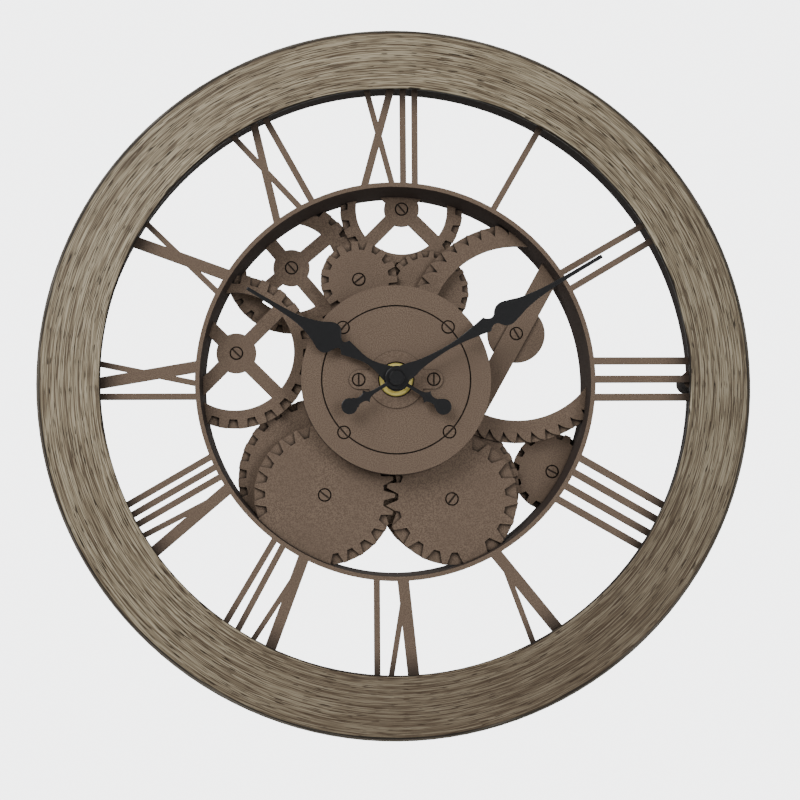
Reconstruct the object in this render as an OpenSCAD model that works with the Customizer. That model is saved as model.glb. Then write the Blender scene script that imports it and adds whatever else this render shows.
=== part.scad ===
// Skeleton wall clock: a broad round frame, an open dial of roman numerals,
// a relief of toothed wheels round the centre plate, and a quartz movement
// behind it that turns two spade hands.
// The hands turn about Y. The dial looks to -Y, the wall is at the back (+Y), and 12 is at +Z.

/* [Frame] */
// Outer diameter of the frame
frame_d = 303; // [260:1:340]
// Width of the frame's face, from its front lip to its outer edge
face_w = 27.4; // [22:0.2:32]
// Distance from the back edge of the dial's inner ring to the wall
wall_gap = 8.1; // [7:0.1:12]
// How far the cap stands in front of the frame's lip
cap_proud = 8; // [7.5:0.5:10]
// How far the frame's face drops from the lip to its outer edge
face_drop = 11.2; // [8:0.2:13]
// Wall thickness of the frame moulding
frame_wall = 2.4; // [1.8:0.1:3]
// Rounding of the frame's outer front edge
edge_round = 1.3; // [0.8:0.1:2]
// Number of stiffening ribs inside the frame
rib_count = 12; // [8:1:24]
// Thickness of a rib
rib_t = 1.6; // [1:0.1:2.5]

/* [Dial] */
// How far the numerals lie behind the frame's lip
dial_set_back = 5; // [4:0.5:6]
// Thickness of the numeral bars
numeral_t = 2; // [1.5:0.1:2.5]
// How far the inside of the dial's outer hoop lies outside the frame's lip
hoop_room = 1.7; // [1.5:0.1:2]
// Wall thickness of the hoop
hoop_wall = 1.6; // [1.2:0.1:1.8]
// Outer diameter of the inner ring at its front
ring_d = 169.2; // [168:0.2:172]
// Width of the inner ring's front edge
ring_rim = 1.9; // [1.6:0.1:2.4]
// How far the inner ring reaches behind the last relief wheel
ring_lap = 0.2; // [0.1:0.1:1]
// How far the ring's wall leans inwards from front to back
ring_draft = 2.8; // [2:0.1:3.2]
// Radius of the screw boss on the hoop, behind the III
boss_r = 4.1; // [3.6:0.1:4.5]

/* [Centre plate] */
// How far the centre plate's edge stands out over the drum
plate_lap = 1.04; // [0.8:0.02:2]
// Thickness of the centre plate
plate_t = 2.4; // [2:0.1:2.6]
// How far the centre plate stands in front of the numerals
plate_proud = 4; // [3:0.5:4]
// Diameter of the engraved groove circle, on which four screws sit
groove_d = 62.7; // [60:0.5:66]
// Width of the groove
groove_w = 0.6; // [0.4:0.1:1]
// Depth of the groove
groove_deep = 1; // [0.6:0.1:1.2]
// Wall thickness of the drum behind the plate
drum_wall = 1.4; // [1:0.1:1.6]
// Radius of the round part of the yoke
yoke_r = 12.1; // [11:0.1:13]
// Radius of the yoke's ears
ear_r = 4; // [3.4:0.1:4.4]
// Distance of the ears from the centre
ear_place = 15.8; // [15:0.1:17]
// Thickness of the yoke
yoke_t = 0.6; // [0.4:0.1:0.8]

/* [Gear relief] */
// Thickness of a wheel's toothed layer
tooth_layer = 1.5; // [1.2:0.1:1.6]
// Thickness of the web that closes the tooth gaps from behind
web_t = 0.7; // [0.5:0.1:0.8]
// How far the web stays inside the tooth tips
web_inset = 0.2; // [0.1:0.05:0.3]
// Width of the spokes
spoke_w = 5.8; // [5:0.1:7]
// Width of the bridge arm
arm_w = 9.5; // [8:0.1:10.5]
// Radius of the round lug of the bridge arm
lug_r = 12.3; // [11:0.1:13]

/* [Screws] */
// Head radius of the relief screws
screw_head_r = 2.4; // [2.2:0.1:2.6]
// Head height of the relief screws
screw_head_h = 1.2; // [1:0.1:1.4]
// Shank radius of the relief screws
screw_r = 1.4; // [1:0.1:1.6]
// Width of the screw slots
slot_w = 0.7; // [0.5:0.1:0.9]
// Depth of the screw slots
slot_deep = 0.7; // [0.4:0.1:0.9]

/* [Hands] */
// Length of the minute hand from the axis to its tip
minute_l = 101.2; // [96:0.2:104]
// Length of the hour hand from the axis to its tip
hour_l = 73.5; // [68:0.5:78]
// Distance from the axis to the centre of the ball tails
tail_l = 23; // [21:0.2:26]
// Radius of the ball tails
ball_r = 3.5; // [3:0.1:4.2]
// Thickness of the hands
hand_t = 0.5; // [0.4:0.1:0.6]
// Radius of the minute hand's hub
hub_r = 4.9; // [4.5:0.1:6]
// Radius of the cap
cap_r = 3.3; // [3:0.1:3.8]
// Minute shown, counted from twelve
minute_shown = 9.95; // [0:0.05:59.95]
// Hour shown, counted from twelve
hour_shown = 10.05; // [0:0.05:11.95]

/* [Movement] */
// Room that the square movement case has beyond the cell's length
end_room = 6.5; // [6:0.1:8]
// Thickness of the movement
case_depth = 15.5; // [15.5:0.1:16]
// Corner radius of the case
case_corner = 5.4; // [5:0.1:6]
// Wall thickness of the case
case_wall = 1.2; // [1:0.1:1.3]
// Radius of the threaded bushing
bushing_r = 4; // [3.9:0.05:4.2]
// Radius of the bushing's bore
bushing_bore_r = 2.55; // [2.5:0.05:2.7]
// Diameter of the AA cell
cell_d = 14.5; // [14:0.1:14.5]
// Length of the AA cell without its button
cell_l = 49.5; // [49:0.1:49.8]
// Radius of the brass nut
nut_r = 7.1; // [6.6:0.1:7.4]
// Height of the brass nut
nut_h = 2.4; // [2:0.1:2.6]
// Radius of the setting knob
knob_r = 5.5; // [4.5:0.1:6.5]

/* [Hanger] */
// Radius of the keyhole's round opening
key_r = 4.5; // [4:0.1:5]
// Width of the keyhole's slot
key_slot_w = 4.5; // [3.6:0.1:5]
// Thickness of the hanger plate
hanger_t = 1; // [0.8:0.1:1.4]

/* [Hidden] */

// Overrun of every cut past the face it opens
over = 0.5;
// Gap between fixed pieces that only touch
seat_gap = 0.1;
// Radial clearance of a running fit
run_gap = 0.05;
// Gap between pieces that pass each other
pass_gap = 0.3;

// The relief wheels lie in levels. Each one starts where the one in front of it ends.
// Here each level is counted from the front of the numerals.
wheel_t = tooth_layer + web_t;
level_gap = 0.1;
lower_drop = 5;
lower_gap = 0.8;
small_drop = 1.6;
ratchet_drop = lower_drop + wheel_t + lower_gap;
upper_left_drop = ratchet_drop + small_drop + 3 * (wheel_t + level_gap);
ring_depth = upper_left_drop + wheel_t + ring_lap;

// Depths along Y, from the cap at the front to the wall
depth = cap_proud + dial_set_back + ring_depth + wall_gap;
cap_front = -depth / 2;
wall_y = depth / 2;
lip_y = cap_front + cap_proud;
dial_y = lip_y + dial_set_back;
plate_y = dial_y - plate_proud;
plate_back = plate_y + plate_t;
ring_back = dial_y + ring_depth;

frame_r = frame_d / 2;
lip_r = frame_r - face_w;
hoop_r = lip_r + hoop_room;
ring_r = ring_d / 2;
ring_in = ring_r - ring_rim;

// The frame's section
lip_t = 2.5;
lip_round = 0.8;
hoop_extra = 2.3;
hoop_back = ring_back + hoop_extra;
seat_r = hoop_r + hoop_wall + seat_gap;
side_draft = 0.8;
face_y = lip_y + face_drop;

// The drum just clears the movement's rounded corners
case_side = cell_l + end_room;
case_reach = case_side / sqrt(2) - case_corner * (sqrt(2) - 1);
drum_gap = 0.2;
drum_r = case_reach + drum_gap + drum_wall;
drum_back = ring_back;
plate_r = drum_r + plate_lap;

round_fn = 96;

// The round sinks that hold the heads of the slotted screws
sink_room = 0.5;
sink_r = screw_head_r + sink_room;
sink_deep = 1;

// A flat shape in the dial's plane becomes a plate that starts at y and is t thick
module slab(y, t) {
  translate([0, y + t, 0]) rotate([90, 0, 0]) linear_extrude(t) children();
}

// A profile of radius and depth becomes a turned piece about the Y axis
module turned() {
  rotate([-90, 0, 0]) rotate_extrude($fn = round_fn) children();
}

// A round bar along Y that starts at y
module rod(y, l, r) {
  translate([0, y, 0]) rotate([-90, 0, 0]) cylinder(h = l, r = r, $fn = 48);
}

module tube_y(y, l, r_out, r_in) {
  difference() {
    rod(y, l, r_out);
    rod(y - over, l + 2 * over, r_in);
  }
}

// Moves a piece to a point of the dial's plane
module at(p) {
  translate([p[0], 0, p[1]]) children();
}

function polar(r, a) = [r * cos(a), r * sin(a)];

// The frame
rim_w = 2.2;
cavity_r = seat_r + frame_wall;
rib_back = 3;
pad_half = 21;
pad_t = 8;
head_room = 5;
ear_t = 2.2;
boss_angle = 0;
keyhole_room = 1.2;

// Points of an arc about c, from angle a0 to a1
function arc(c, r, a0, a1, n) = [for (i = [0 : n]) c + polar(r, a0 + (a1 - a0) * i / n)];

face_slant = atan(face_drop / (frame_r - lip_r));

// Radius and depth; the face runs straight between the rounded lip and the rounded outer edge
module frame_section() {
  slope = tan(face_slant);
  polygon(concat(
    arc([lip_r + lip_round, lip_y + lip_round], lip_round, 180, 270 + face_slant, 4),
    arc([frame_r - edge_round, face_y + edge_round], edge_round, 270 + face_slant, 360, 5), [
    [frame_r - side_draft, wall_y],
    [frame_r - side_draft - rim_w, wall_y],
    [frame_r - rim_w - edge_round, face_y + frame_wall + edge_round],
    [cavity_r, lip_y + frame_wall + slope * (cavity_r - lip_r)],
    [cavity_r, wall_y],
    [seat_r, wall_y],
    [seat_r, lip_y + lip_t],
    [lip_r, lip_y + lip_t]
  ]));
}

// Everything between the frame's two walls, to trim ribs and pads
module frame_cavity(y_back) {
  slope = tan(face_slant);
  turned() polygon([
    [cavity_r - over, lip_y + frame_wall + slope * (cavity_r - lip_r) - over],
    [frame_r - rim_w - edge_round, face_y + frame_wall],
    [frame_r - side_draft - rim_w / 2, y_back],
    [cavity_r - over, y_back]
  ]);
}

pad_mid = (cavity_r + frame_r - rim_w) / 2;
hanger_h = 16;
hanger_w = 38;
hanger_screw_x = 14;
hanger_screw_r = 1.3;
hanger_sink = 0.2;
hanger_back = wall_y - hanger_sink;
hanger_front = hanger_back - hanger_t;
key_slot_l = 8;

// The keyhole: a round opening for the screw head with a slot above it
module keyhole(extra) {
  circle(r = key_r + extra, $fn = 64);
  translate([-key_slot_w / 2 - extra, 0]) square([key_slot_w + 2 * extra, key_slot_l - key_slot_w / 2]);
  translate([0, key_slot_l - key_slot_w / 2]) circle(r = key_slot_w / 2 + extra, $fn = 64);
}

key_drop = 1.6;

module frame() {
  color("#86745f") {
    difference() {
      union() {
        turned() frame_section();
        intersection() {
          frame_cavity(wall_y - rib_back);
          union() {
            for (i = [0 : rib_count - 1]) rotate([0, (i + 0.5) * 360 / rib_count, 0])
              translate([-rib_t / 2, lip_y, cavity_r - over])
                cube([rib_t, depth, frame_r - cavity_r]);
          }
        }
        intersection() {
          frame_cavity(hanger_front - seat_gap);
          translate([-pad_half, hanger_front - pad_t, cavity_r - over])
            cube([2 * pad_half, pad_t, frame_r - cavity_r]);
        }
        frame_ear();
      }
      translate([0, 0, pad_mid - key_drop])
        slab(hanger_front - head_room, head_room + over) keyhole(keyhole_room);
      for (s = [-1, 1]) at([s * hanger_screw_x, pad_mid])
        rod(hanger_front - hanger_screw_l - over, hanger_screw_l + 2 * over, hanger_screw_r);
      at(boss_at) rod(hoop_back, ear_t + 2 * over, frame_screw_r + run_gap);
    }
  }
}

// The ear that the frame puts behind the hoop's boss
module frame_ear() {
  at(polar(hoop_r, boss_angle)) rod(hoop_back + seat_gap, ear_t, boss_r);
}

// The dial: hoop, numeral bars and inner ring in one moulding
band_h = hoop_r - ring_r;
thin_w = 2.35;
bar_w = 2.65;
heavy_w = 3;
mid_w = 3.2;
thick_w = 4.8;

// Each stroke: hour, side shift at its foot and at its head as shares of the band's height, width
stroke_shares = [
  [1, 0.005, 0.008, bar_w],
  [2, -0.1, -0.097, bar_w], [2, 0.091, 0.084, bar_w],
  [3, -0.193, -0.188, heavy_w], [3, -0.004, 0, heavy_w], [3, 0.183, 0.187, heavy_w],
  [4, -0.243, -0.239, heavy_w], [4, -0.082, -0.078, heavy_w], [4, 0.08, 0.083, heavy_w],
  [4, 0.241, 0.244, heavy_w],
  [5, 0.018, -0.135, thick_w], [5, -0.016, 0.163, thin_w],
  [6, -0.055, -0.154, thick_w], [6, -0.087, 0.084, thin_w], [6, 0.215, 0.22, bar_w],
  [7, -0.075, -0.24, thick_w], [7, -0.102, -0.034, thin_w], [7, 0.17, 0.146, bar_w],
  [7, 0.275, 0.294, bar_w],
  [8, -0.09, -0.271, thick_w], [8, -0.114, -0.064, thin_w], [8, 0.057, 0.063, bar_w],
  [8, 0.17, 0.174, bar_w], [8, 0.283, 0.287, bar_w],
  [9, -0.149, -0.145, bar_w], [9, 0.155, -0.012, thick_w], [9, -0.011, 0.2, thin_w],
  [10, 0.092, -0.079, thick_w], [10, -0.103, 0.158, thin_w],
  [11, -0.206, 0.103, mid_w], [11, 0.062, -0.165, thin_w], [11, 0.203, 0.225, bar_w],
  [12, -0.289, -0.011, mid_w], [12, -0.019, -0.279, thin_w], [12, 0.1, 0.104, bar_w],
  [12, 0.221, 0.226, bar_w]
];

// A slanting bar from the ring to the hoop, with its foot and head level
module stroke(foot, head, w) {
  high = hoop_r + hoop_wall / 2;
  lean = (head - foot) / band_h;
  half = w / 2 * sqrt(1 + lean * lean);
  a = foot - lean * ring_rim;
  b = head + lean * (high - hoop_r);
  polygon([[a - half, ring_in], [a + half, ring_in], [b + half, high], [b - half, high]]);
}

module dial_skeleton() {
  lean = ring_draft / ring_depth;
  color("#6f5c4e") {
    difference() {
      union() {
        turned() polygon([[ring_r, dial_y], [ring_in, dial_y], [ring_in - ring_draft, ring_back],
          [ring_r - ring_draft, ring_back]]);
        turned() polygon([[hoop_r, lip_y + lip_t + seat_gap], [hoop_r + hoop_wall, lip_y + lip_t + seat_gap],
          [hoop_r + hoop_wall, hoop_back], [hoop_r, hoop_back]]);
        intersection() {
          slab(dial_y, numeral_t) for (s = stroke_shares)
            rotate(-30 * s[0]) stroke(s[1] * band_h, s[2] * band_h, s[3]);
          tube_y(dial_y - over, numeral_t + 2 * over, hoop_r + hoop_wall / 2, ring_in + lean * numeral_t / 2);
        }
        intersection() {
          at(polar(hoop_r, boss_angle))
            rod(dial_y + numeral_t / 2, hoop_back - dial_y - numeral_t / 2, boss_r);
          rod(lip_y, depth, hoop_r + hoop_wall / 2);
        }
      }
      at(boss_at) rod(hoop_back - frame_screw_l, frame_screw_l + over, frame_screw_r);
    }
  }
}

// The centre plate with the drum that the relief wheels butt against
nut_room = 0.5;
nut_hole_r = nut_r + nut_room;
nut_sink = 1;

module centre_plate() {
  color("#6f5c4e") difference() {
    union() {
      rod(plate_y, plate_t, plate_r);
      tube_y(plate_back - over, drum_back - plate_back + over, drum_r, drum_r - drum_wall);
    }
    tube_y(plate_y - over, groove_deep + over, groove_d / 2 + groove_w / 2, groove_d / 2 - groove_w / 2);
    rod(plate_y - over, nut_sink + over, nut_hole_r);
    rod(plate_y, plate_t + over, bushing_r + seat_gap);
    for (i = [0 : 3]) at(polar(groove_d / 2, 45 + 90 * i)) {
      rod(plate_y - over, sink_deep + over, sink_r);
      rod(plate_y, plate_t + over, screw_r * screw_share);
    }
    for (s = [-1, 1]) at([s * ear_place, 0]) {
      rod(plate_y - over, sink_deep - yoke_t + over, sink_r);
      rod(plate_y, plate_t + over, screw_r * screw_share);
    }
  }
}

screw_share = 0.8;

module yoke_plate() {
  color("#6f5c4e") slab(plate_y - yoke_t, yoke_t) difference() {
    union() {
      circle(r = yoke_r, $fn = round_fn);
      for (s = [-1, 1]) translate([s * ear_place, 0]) circle(r = ear_r, $fn = 64);
      translate([-ear_place, -ear_r]) square([2 * ear_place, 2 * ear_r]);
    }
    circle(r = nut_hole_r, $fn = round_fn);
    for (s = [-1, 1]) translate([s * ear_place, 0]) circle(r = sink_r, $fn = 48);
  }
}

// A slotted screw whose head rests on y; the slot is turned by a
module slotted_screw(y, head_r, head_h, r, l, a) {
  difference() {
    union() {
      rod(y - head_h, head_h, head_r);
      rod(y - over, l + over, r);
    }
    rotate([0, -a, 0]) translate([-head_r - over, y - head_h - over, -slot_w / 2])
      cube([2 * (head_r + over), slot_deep + over, slot_w]);
  }
}

module centre_screws() {
  slants = [-45, 50, -50, 45];
  color("#6a584b") for (i = [0 : 3]) at(polar(groove_d / 2, 45 + 90 * i))
    slotted_screw(plate_y + sink_deep, screw_head_r, screw_head_h, screw_r * screw_share - run_gap,
      plate_t - sink_deep, slants[i]);
}

module yoke_screws() {
  color("#6a584b") for (s = [-1, 1]) at([s * ear_place, 0])
    slotted_screw(plate_y + sink_deep - yoke_t, screw_head_r, screw_head_h,
      screw_r * screw_share - run_gap, plate_t - sink_deep + yoke_t, 90);
}

// The levels of the relief wheels
left_drop = 1.3;
far_drop = 1.4;
level_lower = dial_y + lower_drop;
level_ratchet = dial_y + ratchet_drop;
level_small_front = level_ratchet + small_drop;
level_left = level_ratchet + left_drop;
level_small_rear = level_small_front + wheel_t + level_gap;
level_right_rear = level_ratchet + wheel_t + level_gap;
level_left_rear = level_right_rear + wheel_t + level_gap;
level_far = level_left_rear + far_drop;
level_top = level_small_rear + wheel_t + level_gap;
level_upper_left = dial_y + upper_left_drop;

// Places of the wheel centres: share of the way from the drum to the ring, and direction
left_shares = [0.6887, 168.44];
left_hub_shares = [0.6702, 168.93];
upper_left_shares = [0.6292, 130.56];
top_shares = [0.8331, 86.98];
small_front_shares = [0.1796, 108.36];
small_rear_shares = [0.0738, 69.46];
ratchet_shares = [0.3904, 21.80];
lower_left_shares = [0.4013, -122.41];
lower_left_rear_shares = [0.2934, -128.97];
lower_right_shares = [0.3682, -64.81];
lower_right_rear_shares = [0.2597, -63.87];
far_right_shares = [0.8649, -29.50];

function place(shares) = polar(drum_r + shares[0] * (ring_in - drum_r), shares[1]);

// Each wheel has its tip and root radius, its tooth count, the direction of one gap, and
// the width of a gap at its mouth and at its floor as shares of the pitch.
// A gap that the ring's wall would cut open is left out.
function tooth_points(c, tip, root, n, turn, gaps) = [
  for (i = [0 : n - 1], k = [0 : 3])
    let (p = 360 / n, a = turn + p * i, outer = k == 0 || k == 3,
      cut = norm(c + polar(tip, a)) < ring_in - seat_gap,
      h = gaps[outer ? 0 : 1] / 2, side = k < 2 ? -1 : 1)
    polar(outer || !cut ? tip : root, a + side * h * p)
];

// The room between the drum and the leaning wall of the ring
module relief_room() {
  lean = ring_draft / ring_depth;
  difference() {
    turned() polygon([
      [0, dial_y], [ring_in - seat_gap, dial_y],
      [ring_in - ring_draft - seat_gap, ring_back],
      [ring_in - ring_draft - seat_gap - lean * over, ring_back + over],
      [0, ring_back + over]
    ]);
    rod(dial_y - over, depth, drum_r + seat_gap);
  }
}

// Cuts the openings of a spoked wheel into its flat outline. The hub lies at the point hub_at.
module spoked(inner, hub, spokes, hub_at) {
  difference() {
    children();
    difference() {
      circle(r = inner, $fn = round_fn);
      translate(hub_at) {
        circle(r = hub, $fn = 64);
        for (a = spokes) rotate(a) translate([0, -spoke_w / 2]) square([2 * inner, spoke_w]);
      }
    }
  }
}

// The hole and the sink that a wheel or the arm has for its screw
module screw_sink(y) {
  rod(y - over, far_layer + arm_t + 2 * over, screw_r);
  rod(y - over, over + sink_deep, sink_r);
}

// A full wheel: toothed layer in front, web behind, hole for its screw
module relief_wheel(c, y, tip, root, n, turn, gaps, web_r, layer = tooth_layer) {
  intersection() {
    at(c) difference() {
      union() {
        slab(y, layer) polygon(tooth_points(c, tip, root, n, turn, gaps));
        rod(y + layer, web_t, web_r);
      }
      screw_sink(y);
    }
    relief_room();
  }
}

// A spoked wheel: toothed layer in front, web behind, both with the same openings
module spoked_wheel(c, y, tip, root, inner, hub, n, turn, gaps, spokes, hub_at) {
  intersection() {
    at(c) difference() {
      union() {
        slab(y, tooth_layer) spoked(inner, hub, spokes, hub_at)
          polygon(tooth_points(c, tip, root, n, turn, gaps));
        slab(y + tooth_layer, web_t) spoked(inner, hub, spokes, hub_at)
          circle(r = tip - web_inset, $fn = round_fn);
      }
      at(hub_at) screw_sink(y);
    }
    relief_room();
  }
}

left_tip = 32.9;
left_root = 29;
left_inner = 25.1;
left_hub = 8.5;
left_gap_shares = [0.58, 0.43];
module gear_left() {
  color("#6f5c4e") spoked_wheel(place(left_shares), level_left, left_tip, left_root, left_inner,
    left_hub, 24, 13.4, left_gap_shares, [45, 135, 225, 315], place(left_hub_shares) - place(left_shares));
}

upper_left_tip = 28.3;
upper_left_root = 24.9;
upper_left_inner = 19.3;
upper_left_hub = 7.8;
upper_left_gap_shares = [0.48, 0.27];
module gear_upper_left() {
  color("#6f5c4e") spoked_wheel(place(upper_left_shares), level_upper_left, upper_left_tip,
    upper_left_root, upper_left_inner, upper_left_hub, 24, 3.4, upper_left_gap_shares,
    [40, 130, 220, 310], [0, 0]);
}

top_tip = 26.3;
top_root = 23.1;
top_inner = 19.5;
top_hub = 7.5;
top_gap_shares = [0.55, 0.345];
module gear_top() {
  color("#6f5c4e") spoked_wheel(place(top_shares), level_top, top_tip, top_root, top_inner,
    top_hub, 20, 15.1, top_gap_shares, [45, 135, 225, 315], [0, 0]);
}

small_front_tip = 16.4;
small_front_root = 12.85;
small_front_gap_shares = [0.62, 0.4];
module gear_small_front() {
  color("#6f5c4e") relief_wheel(place(small_front_shares), level_small_front, small_front_tip,
    small_front_root, 15, 12.2, small_front_gap_shares, small_front_tip - web_inset);
}

small_rear_tip = 17.5;
small_rear_root = 14.7;
small_rear_gap_shares = [0.7, 0.48];
module gear_small_rear() {
  color("#6f5c4e") relief_wheel(place(small_rear_shares), level_small_rear, small_rear_tip,
    small_rear_root, 20, 3.2, small_rear_gap_shares, small_rear_tip - web_inset);
}

lower_left_tip = 29.7;
lower_left_root = 25.1;
lower_left_n = 25;
lower_left_turn = 6.2;
lower_left_gap_shares = [0.8, 0.36];
lower_right_tip = 27.9;
lower_right_root = 22.7;
lower_right_gap_shares = [0.8, 0.34];

// Each lower wheel's web is cut back to its tooth floors where the teeth mesh
lower_span = norm(place(lower_right_shares) - place(lower_left_shares));
module gear_lower_left() {
  color("#6f5c4e") difference() {
    relief_wheel(place(lower_left_shares), level_lower, lower_left_tip, lower_left_root,
      lower_left_n, lower_left_turn, lower_left_gap_shares, lower_left_tip - web_inset);
    at(place(lower_right_shares)) rod(level_lower + tooth_layer, wheel_t, lower_span - lower_left_root);
  }
}

lower_left_rear_tip = 34.1;
lower_left_rear_root = 30.6;
lower_left_rear_gap_shares = [0.58, 0.44];
module gear_lower_left_rear() {
  color("#6f5c4e") relief_wheel(place(lower_left_rear_shares), level_left_rear, lower_left_rear_tip,
    lower_left_rear_root, 27, 2.6, lower_left_rear_gap_shares, lower_left_rear_tip - web_inset);
}

// The teeth of the lower right wheel keep this far from those of the lower left one
mesh_gap = 0.5;
mesh_wide = mesh_gap * lower_left_n / (PI * lower_left_tip);
module gear_lower_right() {
  c = place(lower_left_shares);
  color("#6f5c4e") difference() {
    relief_wheel(place(lower_right_shares), level_lower, lower_right_tip, lower_right_root,
      19, 6.84, lower_right_gap_shares, lower_right_tip - web_inset);
    at(c) {
      slab(level_lower - over, tooth_layer + 2 * over)
        polygon(tooth_points(c, lower_left_tip + mesh_gap, lower_left_root + mesh_gap, lower_left_n,
          lower_left_turn, [for (g = lower_left_gap_shares) g - mesh_wide]));
      rod(level_lower + tooth_layer, wheel_t, lower_span - lower_right_root);
    }
  }
}

lower_right_rear_tip = 30.4;
lower_right_rear_root = 28;
lower_right_rear_gap_shares = [0.58, 0.44];
module gear_lower_right_rear() {
  color("#6f5c4e") relief_wheel(place(lower_right_rear_shares), level_right_rear,
    lower_right_rear_tip, lower_right_rear_root, 26, 6.6, lower_right_rear_gap_shares,
    lower_right_rear_tip - web_inset);
}

// The far wheel is thicker than the others, so its gaps are deep
far_layer = 3;
far_tip = 16.8;
far_root = 14.1;
far_gap_shares = [0.6, 0.375];
module gear_far_right() {
  color("#6f5c4e") relief_wheel(place(far_right_shares), level_far, far_tip, far_root, 15, 4.7,
    far_gap_shares, far_tip - web_inset, far_layer);
}

// The ratchet wheel: curved saw teeth on a broad rim, cut in two by the drum
ratchet_tip = 47;
ratchet_root = 42.3;
ratchet_inner = 37.3;
ratchet_teeth = 45;
ratchet_turn = 4.4;
// Each tooth: share of the tooth height, share of the pitch
saw_shares = [[1, 0], [0.5, 0.08], [0, 0.16], [0.22, 0.26], [0.47, 0.41], [0.72, 0.6], [0.88, 0.78]];

module ratchet_wheel() {
  p = 360 / ratchet_teeth;
  h = ratchet_tip - ratchet_root;
  color("#6f5c4e") intersection() {
    at(place(ratchet_shares)) difference() {
      union() {
        slab(level_ratchet, tooth_layer + web_t / 2) polygon([
          for (i = [0 : ratchet_teeth - 1], s = saw_shares)
            polar(ratchet_root + s[0] * h, ratchet_turn + p * (i + s[1]))
        ]);
        rod(level_ratchet + tooth_layer, web_t, ratchet_tip - web_inset);
      }
      rod(level_ratchet - over, wheel_t + 2 * over, ratchet_inner);
    }
    relief_room();
  }
}

// The arm that bridges the right opening, with its round lug behind
arm_slant = 60.8;
arm_t = 2;
arm_drop = 1.2;
arm_y = level_ratchet + arm_drop;
module bridge_arm() {
  color("#6f5c4e") intersection() {
    at(place(ratchet_shares)) difference() {
      union() {
        rotate([0, -arm_slant, 0])
          translate([-ring_r, arm_y, -arm_w / 2]) cube([2 * ring_r, arm_t, arm_w]);
        rod(arm_y + arm_t / 2, arm_t, lug_r);
      }
      screw_sink(arm_y);
    }
    relief_room();
    at(place(ratchet_shares)) rod(arm_y - over, 2 * arm_t + 2 * over, ratchet_inner - seat_gap);
  }
}

// One slotted screw at each wheel centre in sight
relief_screws = [
  [left_hub_shares, level_left, -45], [upper_left_shares, level_upper_left, -48],
  [top_shares, level_top, -50], [small_front_shares, level_small_front, 38],
  [ratchet_shares, arm_y, -60], [lower_left_shares, level_lower, -38],
  [lower_right_shares, level_lower, 52], [far_right_shares, level_far, -28]
];

module gear_screws() {
  color("#6a584b") for (s = relief_screws) at(place(s[0]))
    slotted_screw(s[1] + sink_deep, screw_head_r, screw_head_h, screw_r - run_gap, wheel_t - sink_deep, s[2]);
}

// The hands. Outline shares: distance along the hand, half width, both from its hub outwards
minute_drop = 2.5;
hand_pitch = 2;
minute_y = cap_front + minute_drop;
hour_y = minute_y + hand_pitch;
tube_r = bushing_bore_r - run_gap;
arbor_r = 1.6;
second_r = 0.5;
blade_w = 5.2;
hour_blade_w = 6.8;

minute_shares = [[0.04, 0.85], [0.079, 0.54], [0.099, 0.44], [0.138, 0.33], [0.178, 0.23],
  [0.217, 0.2], [0.257, 0.18], [0.296, 0.22], [0.336, 0.31], [0.375, 0.44], [0.412, 0.52],
  [0.43, 0.7], [0.442, 0.52], [0.46, 0.46], [0.468, 0.62], [0.48, 0.36], [0.494, 0.53],
  [0.514, 0.9], [0.534, 1],
  [0.553, 0.96], [0.573, 0.81], [0.593, 0.67], [0.613, 0.54], [0.652, 0.36], [0.692, 0.21],
  [0.731, 0.15], [0.81, 0.105], [0.99, 0.08], [1, 0.045]];
hour_shares = [[0.045, 0.68], [0.082, 0.43], [0.136, 0.25], [0.19, 0.18], [0.245, 0.24],
  [0.272, 0.29], [0.299, 0.37], [0.318, 0.5], [0.33, 0.38], [0.354, 0.36], [0.366, 0.5], [0.381, 0.34],
  [0.408, 0.66],
  [0.435, 0.97], [0.463, 1], [0.49, 0.95], [0.517, 0.78], [0.544, 0.63], [0.571, 0.49],
  [0.599, 0.375], [0.653, 0.22], [0.707, 0.13], [0.762, 0.1], [0.816, 0.066], [0.99, 0.055],
  [1, 0.03]];
minute_tail_shares = [[0.2, 0.32], [0.26, 0.22], [0.43, 0.23], [0.52, 0.27], [0.6, 0.32],
  [0.64, 0.66], [0.66, 0.5], [0.685, 0.56], [0.7, 0.68], [0.72, 0.42], [0.776, 0.36], [0.86, 0.53],
  [0.93, 0.7]];
hour_tail_shares = [[0.2, 0.32], [0.26, 0.22], [0.35, 0.27], [0.43, 0.34], [0.52, 0.44],
  [0.56, 0.5], [0.585, 0.76], [0.61, 0.6], [0.64, 0.64], [0.66, 0.78], [0.68, 0.5], [0.78, 0.42],
  [0.86, 0.54], [0.93, 0.7]];

// One side of the outline from the tip to the end of the tail, then the other side back
function hand_side(l, half, shares, tail) = concat(
  [for (i = [len(shares) - 1 : -1 : 0]) [shares[i][1] * half, shares[i][0] * l]],
  [for (s = tail) [s[1] * ball_r, -s[0] * tail_l]]);
function mirrored(points) = concat(points,
  [for (i = [len(points) - 1 : -1 : 0]) [-points[i][0], points[i][1]]]);

// A flat hand that points to twelve, with its front at y
module hand(y, l, half, shares, tail, hub, bore) {
  difference() {
    union() {
      slab(y, hand_t) polygon(mirrored(hand_side(l, half, shares, tail)));
      at([0, -tail_l]) rod(y, hand_t, ball_r);
      rod(y, hand_t, hub);
    }
    rod(y - over, hand_t + 2 * over, bore);
  }
}

module minute_hand() {
  color("#1c1b1d") rotate([0, minute_shown * 6, 0])
    hand(minute_y, minute_l, blade_w, minute_shares, minute_tail_shares, hub_r, arbor_r);
}

hour_hub_r = 5.4;
module hour_hand() {
  color("#1c1b1d") rotate([0, hour_shown * 30, 0])
    hand(hour_y, hour_l, hour_blade_w, hour_shares, hour_tail_shares, hour_hub_r, tube_r);
}

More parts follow.
